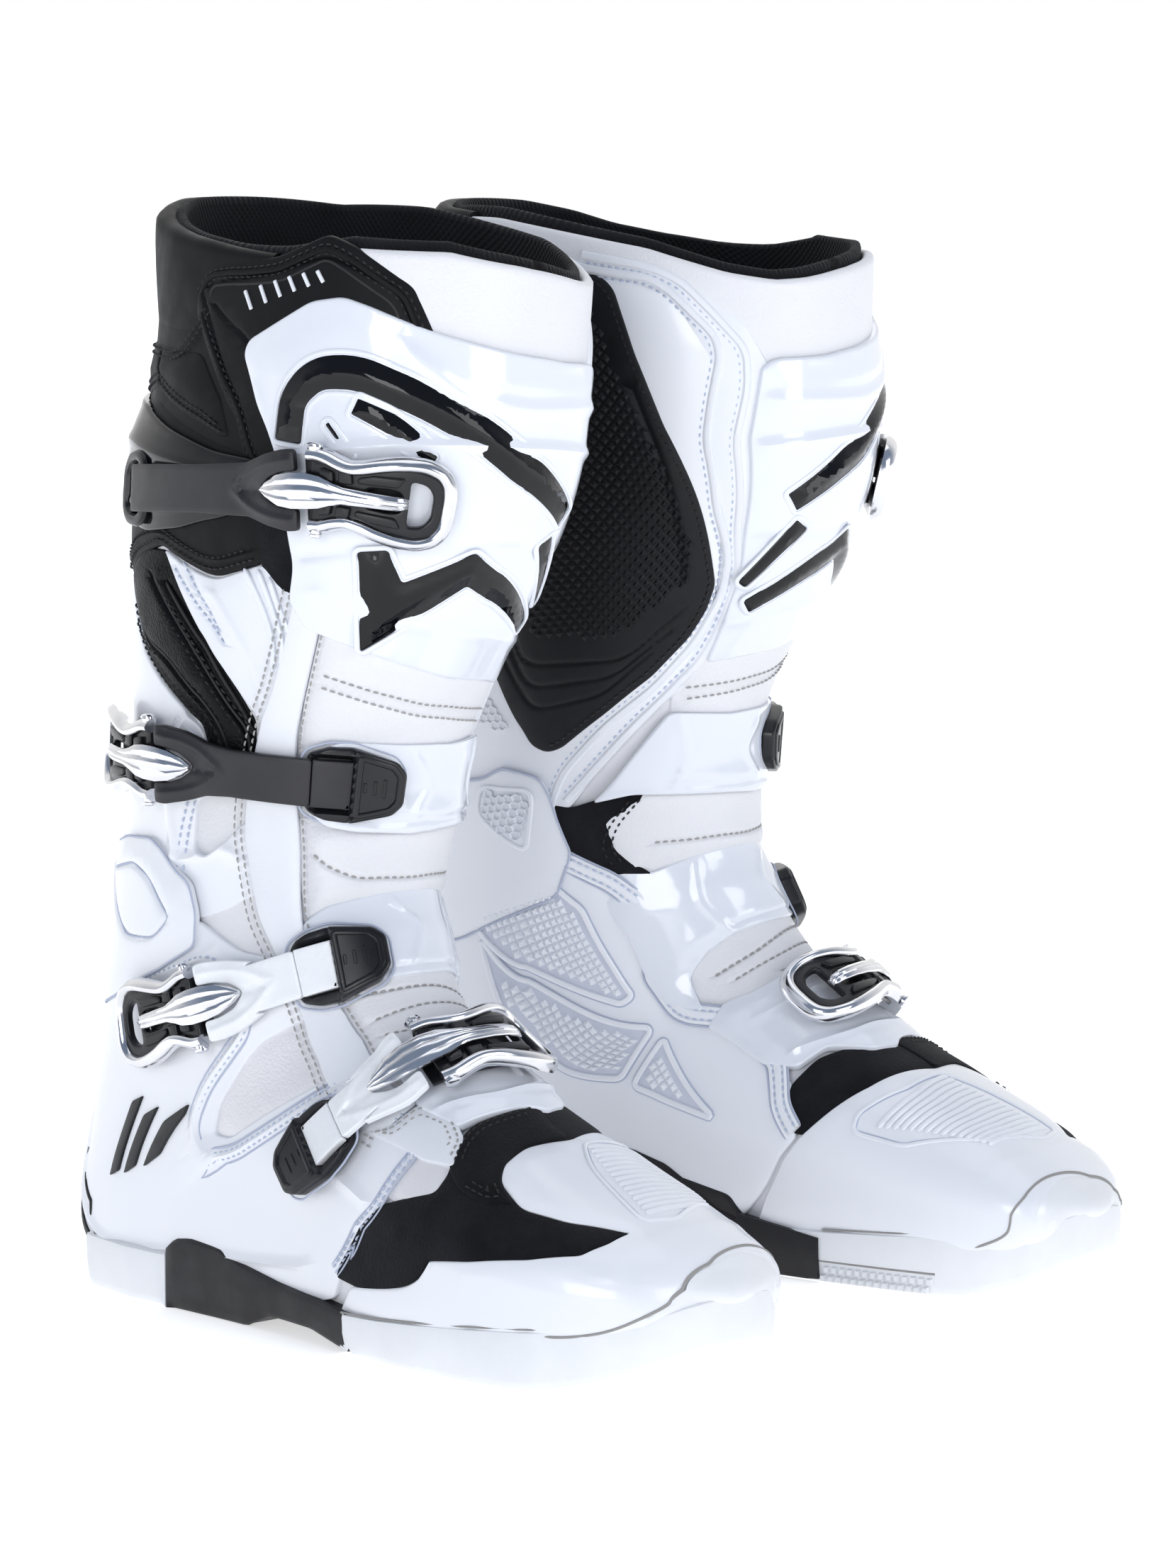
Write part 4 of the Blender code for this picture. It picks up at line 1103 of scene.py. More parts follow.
CHASSIS = [(150, 5.56), (120, 5.6), (98, 5.6), (84, 5.74), (68, 6.24), (54, 6.5), (46, 7.0), (42, 7.46),
           (42, 8.56), (46, 9.0), (50, 10.50), (78, 10.54), (96, 10.36), (112, 10.36), (128, 10.0),
           (128, 9.0), (140, 8.4), (160, 8.1), (180, 8.05), (200, 8.1), (220, 8.4), (232, 9.0), (236, 9.9),
           (250, 10.45), (262, 10.52), (282, 10.66), (290, 10.42), (302, 10.30), (308, 9.95), (312, 9.4),
           (312, 8.8), (306, 8.3), (306, 7.8), (304, 7.44), (308, 7.0), (304, 6.4), (296, 5.84), (286, 5.5),
           (276, 5.4), (240, 5.6), (210, 5.56), (180, 5.62)]
ANKLE_PLATE = [(48, 6.3), (44, 6.10), (36, 5.98), (10, 5.92), (-27, 5.95), (-48, 6.04), (-60, 5.86),
               (-66, 6.2), (-60, 6.8), (-58, 7.4), (-56, 8.0), (-50, 8.44), (-48, 8.2), (-46, 7.80),
               (-38, 7.56), (-26, 7.46), (-9, 7.48), (6, 7.48), (20, 7.40), (36, 7.34), (46, 7.08), (50, 6.7)]
INSTEP_PLATE = [(34, 9.0), (38, 10.0), (32, 10.66), (3, 10.82), (-4, 10.96), (-18, 10.82), (-34, 10.3),
                (-50, 10.2), (-56, 9.8), (-54, 9.2), (-54, 8.7), (-44, 8.5), (-34, 8.62), (-14, 8.6),
                (6, 8.7), (22, 8.7)]
SUEDE = [(100, 10.2), (78, 10.50), (60, 11.1), (50, 11.08), (38, 10.86), (26, 10.74), (12, 10.76),
         (-4, 10.76), (-16, 10.64), (-40, 10.30), (-58, 10.26), (-70, 10.38), (-78, 10.62), (-76, 10.74),
         (-60, 10.92), (-39, 11.18), (-22, 11.34), (0, 11.56), (18, 11.48), (32, 11.56), (39, 11.72),
         (45, 12.2), (40, 12.72), (30, 13.2), (27, 13.34), (42, 13.28), (57, 13.12), (70, 12.6), (82, 11.92),
         (94, 11.08), (101, 10.6)]


def build_ankle():
    placket = PLACKET_REAR + PLACKET_FRONT[::-1]
    emit("placket", panel(BODY, placket, 0.0, 2.6, edge=0.7, rounding=2, spacing=3.0, dome=0.4, reach=3),
         "white synthetic", "ankle")
    rows = side_rows(line(BODY, PLACKET_REAR), (-1.3, -4.0), 2.95)
    rows += side_rows(line(BODY, PLACKET_FRONT), (1.6,), 2.95)
    emit("placket_stitches", joined(rows), "grey thread", "ankle")
    pad = [(50, 4.75), (49, 5.2), (46, 5.7), (44, 6.1), (10, 6.15), (-34, 6.15), (-56, 6.1), (-66, 5.7),
           (-72, 5.1), (-50, 4.75), (-20, 4.8), (20, 4.85)]
    channel = [([(43, 5.2), (36, 5.42), (24, 5.66), (0, 5.76), (-30, 5.70), (-46, 5.62)], 1.4, -1.1)]
    emit("ankle_gaiter", panel(BODY, pad, -1.0, -0.2, dome=3.0, reach=10, lines=channel, spacing=3.0),
         "white leather", "ankle")
    emit("ankle_gaiter_stitches", stitches(BODY, line(BODY, channel[0][0]), 2.0), "grey thread", "ankle")
    wedge = [(-82, 4.9), (-74, 5.0), (-52, 4.86), (-43, 4.92), (-54, 5.3), (-58, 5.56), (-54, 5.8),
             (-47, 6.08), (-66, 5.9), (-74, 5.6), (-80, 5.3)]
    emit("medial_suede", panel(BODY, wedge, -0.6, 1.8, dome=0.8, reach=3), "suede", "ankle")
    rows = [stitches(BODY, line(BODY, [(-48, 4.96), (-58, 5.3), (-61, 5.56), (-57, 5.84)]), 2.7),
            stitches(BODY, line(BODY, [(-52, 4.96), (-61, 5.3), (-64, 5.56), (-60, 5.86)]), 2.7)]
    emit("medial_suede_stitches", joined(rows), "black thread", "ankle")


def build_chassis():
    stitched = [(68, 6.96), (69, 7.20), (75, 7.36), (82, 7.52), (88, 7.80), (90, 8.12), (90, 8.36),
                (86, 8.52), (74, 8.62), (54, 8.72), (46, 8.74)]
    ridges = [(stitched, 1.8, 1.4),
              ([(150, 6.12), (122, 6.14), (96, 6.12), (80, 6.14)], 1.8, 0.9),
              ([(58, 8.9), (68, 9.1), (76, 9.5), (80, 10.3)], 3.0, 1.4),
              ([(150, 7.0), (126, 7.9), (112, 8.9), (100, 10.0)], 2.5, 1.5),
              ([(210, 7.0), (234, 7.9), (246, 8.9), (256, 10.0)], 2.5, 1.5)]
    lap = station_ramp(5.95, 5.65)
    solid = panel(BODY, CHASSIS, lambda xy: -1.4 + 2.0 * lap(xy), lambda xy: 1.5 + 0.9 * lap(xy), edge=1.0,
                  dome=0.7, reach=7, spacing=5, lines=ridges, holes=[WINDOW])
    emit("foot_shell", solid, "white shell", "feet", ("foot_chassis",))
    rows = side_rows(line(BODY, stitched), (-1.3, 1.3), 2.5)
    front = line(BODY, [(47, 9.2), (49, 9.9), (51, 10.4), (78, 10.42), (96, 10.24)])
    rows += side_rows(front, (1.6, 4.0), 2.35)
    rows += [stitches(BODY, line(BODY, [(122, 6.16), (96, 6.12), (82, 6.12), (76, 6.24)]), 2.9)]
    emit("foot_shell_stitches", joined(rows), "white thread", "feet")
    # Thin cords in painted shade beside the stitched ridge and along the front seam: painted shadow lines.
    edges = [bead(BODY, shifted(BODY, line(BODY, stitched), d), 0.45, 2.2, sides=6) for d in (-3.0, 3.0)]
    edges += [bead(BODY, shifted(BODY, front, d), 0.4, 2.05, sides=6) for d in (0.3, 5.4)]
    emit("foot_shell_shade_lines", joined(edges), "shade", "feet")
    window_pad = panel(BODY, [(40, 7.3), (68, 7.3), (84, 7.7), (90, 8.1), (86, 8.45), (68, 8.52), (40, 8.7)],
                       -1.2, -0.4, dome=0.9, reach=8)
    emit("window_leather", window_pad, "pearl leather", "feet")


def build_ankle_arm():
    facet = [(132, 5.06), (124, 5.4), (114, 5.66), (98, 5.78), (92, 5.64), (102, 5.2), (112, 5.04)]
    arm = panel(BODY, ARM, 1.2, 4.2, edge=1.2, dome=1.2, reach=7, spacing=3.0,
                lines=[(facet + facet[:1], 1.0, -1.0)])
    emit("ankle_arm", arm, "white shell", "feet")
    # Thin cords in painted shade along the arm's outline and its facet: painted shadow lines.
    shade_cords = joined([painted_shade_lines([(ARM, 0.0)], 3.7), painted_shade_lines([(facet, 0.0)], 4.7, 0.4)])
    emit("ankle_arm_shade_lines", shade_cords, "shade", "feet")


def build_heel():
    bars = []
    for lean, length in ((0, 1.0), (1, 0.78), (2, 0.56)):
        u, v = 103 - 5.5 * lean, 7.18 + 0.20 * lean
        bars.append(panel(BODY, [(u, v), (u - 4.0, v + 0.02), (u - 1.0 + 4 * length, v + 0.52 * length),
                                 (u + 3.0 + 4 * length, v + 0.50 * length)], 1.6, 3.4, edge=0.5,
                          rounding=0.8))
    emit("heel_badge", joined(bars), "black plastic", "feet")
    heel = [panel(BODY, [(160, 7.0), (170, 7.3), (168, 7.9), (162, 8.0), (158, 7.5)], 1.2, 2.6, rounding=1),
            panel(BODY, [(172, 7.2), (180, 7.0), (188, 7.2), (184, 8.0), (176, 8.0)], 1.2, 2.6, rounding=1),
            panel(BODY, [(200, 7.0), (190, 7.3), (192, 7.9), (198, 8.0), (202, 7.5)], 1.2, 2.6, rounding=1)]
    hooks = [([(142, 7.2), (140, 7.6), (129, 8.24)], 1.5), ([(141, 7.3), (125, 7.72), (129, 8.24)], 0.9)]
    for path, half in hooks:
        heel.append(panel(BODY, stroke(path, half), 1.2, 2.9, edge=0.5, rounding=0.5, spacing=2))
    emit("heel_inlays", joined(heel), "black rubber", "feet")


def build_medial_foot():
    arm = [(-150, 5.5), (-140, 4.9), (-120, 4.62), (-101, 4.60), (-94, 4.50), (-83, 4.64), (-80, 4.84),
           (-77, 5.2), (-74, 5.54), (-80, 6.0), (-110, 6.1), (-150, 6.0)]
    emit("medial_ankle_arm", panel(BODY, arm, 1.2, 3.6, edge=1.2, dome=0.8, reach=7, spacing=3.0),
         "white shell", "feet")
    cells = [(-101, 4.70), (-86, 4.78), (-86, 4.94), (-88, 5.38), (-102, 4.94)]
    emit("ankle_honeycomb", honeycomb(BODY, cells, 3.4, 4.5, 1.1), "white shell", "feet", sharp=20)
    patches = [[(-103, 5.50), (-84, 5.74), (-73, 6.24), (-63, 7.60), (-66, 7.62), (-105, 6.04)],
               [(-103, 6.18), (-63, 8.20), (-80, 8.54), (-87, 7.76)],
               [(-64, 8.46), (-83, 9.74), (-81, 8.74)]]
    # The patches' recess floors are coloured darker than the shell as painted shade.
    floors = [panel(BODY, places, 1.2, 2.7, edge=0.6, rounding=2.5, spacing=6) for places in patches]
    emit("medial_patch_floors_painted_shade", joined(floors), "patch", "feet")
    fields = [pyramids(BODY, places, 3.1, 2.6, 1.5, inset=1.8) for places in patches]
    emit("medial_studs", joined(fields), "white shell", "feet", sharp=20)
    rims = [bead(BODY, shifted(BODY, outline(BODY, places, 3.0, 1.5), -0.4, closed=True), 1.2, 2.8,
                 closed=True) for places in patches]
    rims.append(bead(BODY, shifted(BODY, outline(BODY, cells, 3.0, 1.5), -0.8, closed=True), 1.0, 4.4,
                     closed=True))
    emit("medial_patch_rims", joined(rims), "white shell", "feet")
    # Thin cords in painted shade round the patches and along the arm's outline: painted shadow lines.
    shade_cords = [painted_shade_lines([(places, -1.7) for places in patches], 2.35), painted_shade_lines([(arm, 0.0)], 3.7)]
    emit("medial_shade_lines", joined(shade_cords), "shade", "feet")
    seam = [(-78, 5.60), (-75, 5.64), (-62, 6.02), (-54, 6.42), (-51, 6.9), (-51, 7.12), (-56, 7.42),
            (-54, 7.80), (-54, 8.28), (-48, 8.72), (-48, 9.28), (-52, 9.90), (-60, 10.14), (-69, 10.34),
            (-77, 10.62)]
    way = line(BODY, seam)
    profile = [(-3.8, 1.6), (-3.5, 3.2), (-2.6, 3.7), (-1.8, 2.8), (-0.9, 3.7), (0.9, 3.7), (1.8, 2.8),
               (2.6, 3.7), (3.5, 3.2), (3.8, 1.6)]
    emit("medial_seam_ridge", ribbon(BODY, way, profile), "white shell", "feet")
    emit("medial_ridge_stitches", joined(side_rows(way, (-1.8, 1.8), 3.1)), "white thread", "feet")
    # Thin cords in painted shade on either side of the seam ridge: painted shadow lines.
    edges = painted_shade_lines([(seam, -4.1), (seam, 4.1)], 2.5, closed=False)
    emit("medial_ridge_shade_lines", edges, "shade", "feet")


def build_tongue():
    tongue = [(42, 7.1), (38, 7.7), (37, 8.3), (40, 8.8), (40, 9.4), (20, 9.4), (0, 9.2), (-30, 9.0),
              (-46, 8.7), (-52, 8.2), (-50, 7.5), (-30, 7.25), (0, 7.2), (26, 7.1)]
    channels = [([(33, 7.48), (20, 7.62), (2, 7.72), (-22, 7.94), (-40, 8.0)], 1.0, -1.0),
                ([(30, 8.02), (10, 8.06), (-12, 8.18), (-36, 8.24)], 1.0, -0.8),
                ([(30, 8.34), (14, 8.54), (0, 8.58), (-20, 8.5)], 1.0, -0.8)]
    emit("tongue_leather", panel(BODY, tongue, -1.0, 0.2, dome=2.2, reach=7, lines=channels, spacing=3.0),
         "white leather", "feet")
    rows = [stitches(BODY, line(BODY, path), 2.0) for path, _, _ in channels]
    emit("tongue_stitches", joined(rows), "grey thread", "feet")


def build_guards():
    sink = station_ramp(6.7, 6.1)
    ridges = [([(8, 6.1), (-2, 6.6), (6, 7.3)], 2.2, 0.8),
              ([(-30, 6.1), (-34, 6.7), (-28, 7.4)], 2.5, 0.7),
              ([(44, 6.9), (24, 7.24), (0, 7.3), (-26, 7.3)], 2.2, -0.7)]
    plate = panel(BODY, ANKLE_PLATE, lambda xy: 0.9 - 1.2 * sink(xy), lambda xy: 3.8 - 2.1 * sink(xy),
                  edge=1.1, dome=0.9, reach=8, lines=ridges)
    emit("ankle_guard", plate, "white plate", "feet", ("ankle_plate",))
    plate = panel(BODY, INSTEP_PLATE, 0.6, 4.0, edge=1.1, dome=1.0, reach=8,
                  lines=[([(34, 10.2), (10, 10.5), (-20, 10.4), (-44, 10.0)], 2.6, 0.9),
                         ([(20, 9.0), (0, 9.2), (-40, 9.1)], 2.6, 0.7)])
    emit("instep_guard", plate, "white plate", "feet", ("instep_plate",))


def build_vamp():
    tip = [(58, 9.7), (50, 9.9), (36, 9.9), (30, 10.5), (34, 10.9), (46, 11.12), (52, 10.7)]
    emit("placket_tip", panel(BODY, tip, 0.6, 3.0, edge=0.8, dome=0.5, reach=4), "white synthetic", "feet")
    emit("placket_tip_stitches", joined(border_rows(tip, 0, 5, (1.8, 4.4), 3.35)), "grey thread", "feet")
    corner = [(74, 10.4), (52, 9.6), (40, 10.0), (44, 11.0), (58, 11.3), (74, 10.9)]
    emit("vamp_leather", panel(BODY, corner, -1.0, 0.6, dome=0.8, reach=5), "pearl leather", "feet")
    emit("vamp_suede", panel(BODY, SUEDE, -0.6, 1.5, edge=0.8, dome=0.5, reach=4, rounding=4), "suede",
         "feet")
    flap = [(48, 11.06), (38, 10.86), (27, 10.74), (13, 10.78), (-3, 10.78), (0, 11.2), (0, 11.56),
            (18, 11.48), (31, 11.56), (39, 11.74), (45, 12.1), (52, 11.8), (53, 11.4)]
    emit("vamp_flap", panel(BODY, flap, 1.2, 2.7, edge=0.8, dome=0.4, reach=3, rounding=4), "suede", "feet")
    rows = border_rows(flap, 0, 4, (2.2, 4.6), 3.25) + border_rows(flap, 9, 12, (2.2, 4.6), 3.25)
    emit("vamp_stitches", joined(rows), "black thread", "feet")


TOE_EDGE = [(-78, 10.70), (-60, 10.90), (-39, 11.17), (-22, 11.33), (0, 11.55), (18, 11.47), (32, 11.55),
            (39, 11.71), (45, 12.2), (40, 12.72), (30, 13.2), (27, 13.34), (42, 13.29), (57, 13.13),
            (70, 12.6), (82, 11.92), (94, 11.08), (101, 10.5)]


def build_toe():
    cap = TOE_EDGE + [(128, 10.4), (132, 11.5), (132, 13.0), (132, 14.5), (60, 14.62), (0, 14.62),
                      (-60, 14.62), (-132, 14.5), (-132, 13.0), (-130, 11.5), (-126, 10.6), (-94, 10.6)]
    solid = panel(BODY, cap, -1.4, 2.0, edge=1.0, rounding=3, spacing=3.5, dome=0.5, reach=5,
                  lines=[([(70, 13.6), (30, 13.7), (-20, 13.6), (-60, 13.2)], 3.5, 0.5)])
    emit("toe_shell", solid, "white shell", "feet", ("toe_cap",))
    ridges = []
    for k in range(15):
        v = 11.80 + 0.1 * k
        left, right = -58 + 1.6 * k, -2 + 0.9 * k
        ridges.append(bead(BODY, line(BODY, [(left, v - 0.2), ((left + right) / 2, v - 0.02), (right, v)]),
                           1.1, 2.7, sides=6))
    emit("toe_ridges", joined(ridges), "white shell", "feet")
    patch = [(-66, 11.3), (-56, 11.26), (-28, 11.62), (-2, 11.72), (6, 12.2), (16, 13.3), (0, 13.42),
             (-32, 13.0), (-62, 12.0)]
    emit("toe_patch_rim", bead(BODY, outline(BODY, patch, 5, 1.5), 0.8, 2.7, closed=True), "white shell",
         "feet")
    # A thin cord in painted shade inside the patch rim: a painted shadow line.
    emit("toe_patch_shade_line", painted_shade_lines([(patch, 1.0)], 2.45, 0.35), "shade", "feet")


SOLE_PLAN = np.array([
    # a, lateral edge, medial edge
    (-98, 14, -12), (-93, 30, -26), (-78, 42, -36), (-50, 47, -40), (0, 48, -40), (40, 50, -41),
    (80, 54, -43), (120, 57, -46), (150, 56, -46), (172, 50, -45), (190, 40, -42), (203, 29, -37),
    (210, 18, -28), (214, 5, -17),
], float)


def plan_edge(a, side):
    """The sole's lateral edge where side is 1, and its medial edge where side is -1."""
    return np.interp(a, SOLE_PLAN[:, 0], SOLE_PLAN[:, 1 if side > 0 else 2])


def sole_block(first, last, low, high, bulge, count=24, slant=0.0):
    """A block of sole between two stations. low and high give its heights against a, on each side."""
    a = np.linspace(first, last, count)
    loop_a = np.concatenate([a, a[::-1]])
    loop_b = np.concatenate([plan_edge(a, -1), plan_edge(a, 1)[::-1]])
    step_a, step_b = np.roll(loop_a, -1) - np.roll(loop_a, 1), np.roll(loop_b, -1) - np.roll(loop_b, 1)
    length = np.hypot(step_a, step_b) + 1e-9
    out_a, out_b = -step_b / length, step_a / length
    if (out_b * loop_b).sum() < 0:
        out_a, out_b = -out_a, -out_b
    ends = np.zeros(len(loop_a), bool)
    ends[[0, -1]] = first > -97
    ends[[count - 1, count]] = last < 213
    out_a = np.where(ends, 0, out_a)
    side = np.where(np.arange(len(loop_a)) < count, -1, 1)
    bottom, top = low(loop_a, side), high(loop_a, side)
    rings = []
    for share, push in ((0, -2.0), (0.04, -0.7), (0.16, 0.3), (0.5, 0.8 * bulge + 0.4), (0.84, bulge + 0.4),
                        (0.95, bulge), (1.0, -0.9)):
        z = bottom + (top - bottom) * share
        lean = slant * (0.5 - share) * (ends & (loop_a > (first + last) / 2))
        rings.append(np.stack([loop_a + out_a * push + lean, loop_b + out_b * push, z], -1))
    return loft(rings)


def toe_spring(a):
    return 14 * np.clip((a - 165) / 49, 0, 1) ** 2


def build_sole():
    def heel_top(a, side):
        return 20.5 + 0 * a

    def heel_low(a, side):
        return np.where(a < -92, 3.0, 0.0) + 0 * a

    def front_top(a, side):
        lateral = np.interp(a, [78, 100, 150, 180, 202, 214], [14.5, 15.5, 20, 22, 25, 32])
        medial = np.interp(a, [78, 100, 150, 180, 202, 214], [17, 19, 22, 24, 27, 33])
        return np.where(side > 0, lateral, medial)

    def front_low(a, side):
        return toe_spring(a) + np.where(a < 84, 1.0, 0.0)

    def middle_top(a, side):
        lateral = np.interp(a, [-26, -22, -12, 6, 20, 40, 78], [22, 26, 27.5, 26.5, 22.5, 19, 14.8])
        medial = np.interp(a, [-26, 0, 30, 45, 70, 100, 112], [44, 44, 41, 37, 23, 15, 10])
        return np.where(side > 0, lateral, medial)

    def middle_low(a, side):
        return np.interp(a, [-26, 20, 27, 34, 60, 78], [0, 0, 3, 5.5, 5.0, 1.2])

    emit("heel_tread", sole_block(-98, -26.6, heel_low, heel_top, 0.8), "white rubber", "feet")
    emit("arch_block", sole_block(-26, 88, middle_low, middle_top, 0.6, 40, slant=-9), "black rubber", "feet",
         ("footpeg_insert",))
    emit("front_tread", sole_block(79, 214, front_low, front_top, 0.9, 44), "white rubber", "feet",
         ("outsole",))
    seams = []
    for side, first in ((1, 80), (-1, 119)):
        a = np.linspace(first, 196, 40)
        edge = plan_edge(a, side) + side * 0.3
        seams.append(cord(np.stack([a, edge, front_top(a, np.full(40, side)) + 0.1], -1), 0.4))
    emit("sole_seam", joined(seams), "seam", "feet")


def build_sole_bands():
    medial = [(-93, 7.9), (-93, 8.4), (-94.5, 9.24), (-96, 9.88), (-97.5, 10.32), (-111, 10.6), (-126, 10.8),
              (-129, 11.5), (-150, 11.4), (-150, 8.2), (-120, 7.9)]
    emit("medial_sole_band", panel(BODY, medial, 0.6, 2.9, edge=0.8, rounding=3, spacing=3.5), "black rubber",
         "feet")
    rings = []
    for a in np.linspace(80, 118, 16):
        edge = plan_edge(a, -1)
        low, high = 1.0 + 0.4 * smooth((a - 112) / 6), np.interp(a, [80, 100, 118], [22.0, 19.5, 17.0])
        rings.append([(a, edge + 2, low), (a, edge - 1.4, low), (a, edge - 2.0, low + 1),
                      (a, edge - 2.3, high - 1), (a, edge - 1.8, high), (a, edge + 2, high)])
    emit("medial_front_band", loft(rings), "black rubber", "feet")


def build_tread():
    lugs = []
    for a in np.arange(88, 148, 9.0):
        for b in np.arange(plan_edge(a, -1) + 13, plan_edge(a, 1) - 16, 9.5):
            lugs.append(panel(GROUND, [(a, b), (a + 5.5, b + 2.0), (a + 5.5, b + 6.5), (a, b + 4.5)], 2.5,
                              0.8, edge=0.4, rounding=0.8, spacing=20))
    emit("tread_lugs", joined(lugs), "white rubber", "feet")
    teeth = []
    for row in range(2):
        for a in np.arange(120, 166, 3.4) + 1.7 * row:
            b = plan_edge(a, -1) - 0.4
            low = 0.6 + toe_spring(a) + 3.4 * row
            root = [(a + x, b, low + z) for x, z in ((-1.3, 0), (1.3, 0), (1.3, 2.8), (-1.3, 2.8))]
            crown = [(a + x, b - 1.5, low + z) for x, z in ((-0.8, 0.5), (0.8, 0.5), (0.8, 2.3), (-0.8, 2.3))]
            teeth.append(loft([root, crown]))
    emit("medial_tread", joined(teeth), "white rubber", "feet", sharp=20)
    gap_a = np.linspace(118, 168, 24)
    gap_b = plan_edge(gap_a, -1) - 0.6
    emit("medial_tread_gap", cord(np.stack([gap_a, gap_b, 8.4 + toe_spring(gap_a)], -1), 0.5), "seam", "feet")


def build_bumper():
    """The toe bumper: the front sole's rubber, carried up over the toe tip."""
    u = np.linspace(-180, 180, 73)[:-1]
    top_line = np.interp(u, [-180, -118, -100, -70, -36, 12, 40, 75, 100, 108, 118, 180],
                         [13.2, 13.3, 13.6, 13.9, 14.08, 14.62, 14.68, 14.76, 14.45, 13.72, 13.4, 13.2])
    rings = []
    for share in (0.0, 0.02, 0.12, 0.3, 0.5, 0.7, 0.88, 1.0):
        v = top_line + (15 - top_line) * share
        push = 2.2 if share > 0.05 else (0.8 if share == 0 else 2.0)
        rings.append(skin(u, v, push))
    tip = rings[-1].mean(0) + np.array([4.5, 0, -1.0])
    for shrink, forward in ((0.8, 1.6), (0.5, 3.4), (0.2, 4.3)):
        edge = rings[7] * shrink + rings[7].mean(0) * (1 - shrink)
        rings.append(edge + (tip - rings[7].mean(0)) * forward / 4.5)
    emit("toe_bumper", loft(rings), "white rubber", "feet")
    edge = [(102, 12.84), (108, 13.68), (100, 14.43), (75, 14.74), (40, 14.66), (12, 14.60), (-36, 14.06),
            (-70, 13.88), (-100, 13.58), (-104, 13.1)]
    emit("toe_seam", bead(BODY, line(BODY, edge), 0.45, 2.6), "seam", "feet")


# ---------------------------------------------------------------------------------------------------
# Straps, buckles and holders


def strap_rise(route):
    """The strap climbs over the lever's rivet at its far end."""
    crest = route.pivot - 6

    def low(xy):
        return STRAP_HEIGHT + 4.2 * smooth((xy[:, 0] - 0.7 * crest) / (0.3 * crest))

    return low


def build_strap(closure, route, finish):
    p = route.pivot
    low = strap_rise(route)
    body = [(1.6, -8.6), (p * 0.45, -8.6), (p - 30, -9.6), (p - 20, -12.6), (p - 11, -14.4), (p - 6.6, -14.2),
            (p - 6.4, -6.6), (p - 12, -6.4), (p - 18, -4.6), (p - 22.5, -1.4), (p - 22.5, 1.4), (p - 18, 4.6),
            (p - 12, 6.4), (p - 6.4, 6.6), (p - 6.6, 14.2), (p - 11, 14.4), (p - 20, 12.6), (p - 30, 9.6),
            (p * 0.45, 8.6), (1.6, 8.6)]
    solid = panel(route, body, low, lambda xy: low(xy) + 2.6, edge=0.6, rounding=1.5, spacing=2.5,
                  lines=[([(p - 24, 0), (p - 34, 0)], 2.0, -0.9),
                         ([(p - 9, 10.6), (p - 20, 9.2), (p - 30, 5.5), (p - 36, 0.8)], 1.6, 0.9),
                         ([(p - 9, -10.6), (p - 20, -9.2), (p - 30, -5.5), (p - 36, -0.8)], 1.6, 0.9)])
    emit(f"{closure}_strap_body", solid, finish, f"{closure}_strap", (f"{closure}_strap",))
    stations = [(-23.0, 0.8, 9.8), (-20, 3.0, 11.0), (-14, 5.4, 12.6), (-8, 6.3, 13.8), (-2, 6.3, 14.4),
                (3, 5.6, 14.6), (7, 4.0, 14.5), (11, 3.0, 14.3), (18, 2.8, 13.9), (24, 2.7, 13.5),
                (28, 2.6, 12.9), (30.6, 2.3, 11.6), (31.8, 1.7, 10.0)]
    section = [(-1.0, -1.3), (-1.0, -0.5), (-0.82, -0.1), (-0.5, 0.15), (-0.36, -0.15), (-0.2, 0.35),
               (0.2, 0.35), (0.36, -0.15), (0.5, 0.15), (0.82, -0.1), (1.0, -0.5), (1.0, -1.3)]
    rings = []
    for s, half, top in stations:
        xy = np.array([(p + s, t * half) for t, _ in section])
        rings.append(route.at(xy, np.array([top + h * 1.1 for _, h in section])))
    emit(f"{closure}_strap_leaf", loft(rings), "metal", f"{closure}_strap", sharp=50)
    neck = panel(route, [(p - 6.2, -6.2), (p - 1, -5.6), (p + 4, -4.4), (p + 4, 4.4), (p - 1, 5.6),
                         (p - 6.2, 6.2)], 11.6, 12.7, edge=0.5, rounding=1.2)
    emit(f"{closure}_strap_neck", neck, "black plastic", f"{closure}_strap")


def frame_bar(route, path, half_width, low, high):
    """The lever's metal bar: a swept section with rounded shoulders."""
    way = rounded(np.array(path, float), 4.0, 1.2, closed=False)
    s = way[:, 0] - route.pivot
    wave = 0.9 * np.sin(np.clip(s / 45, 0, 1) * math.pi * 1.5)
    section = [(-1.0, 0.0), (-1.0, 0.55), (-0.7, 0.9), (-0.2, 1.0), (0.35, 0.86), (0.8, 0.55), (1.0, 0.2),
               (1.0, 0.0)]
    rings = []
    for across, height in section:
        rings.append(route.at(shifted(route, way, across * half_width), low + wave + (high - low) * height))
    return loft(np.stack(rings, 1))


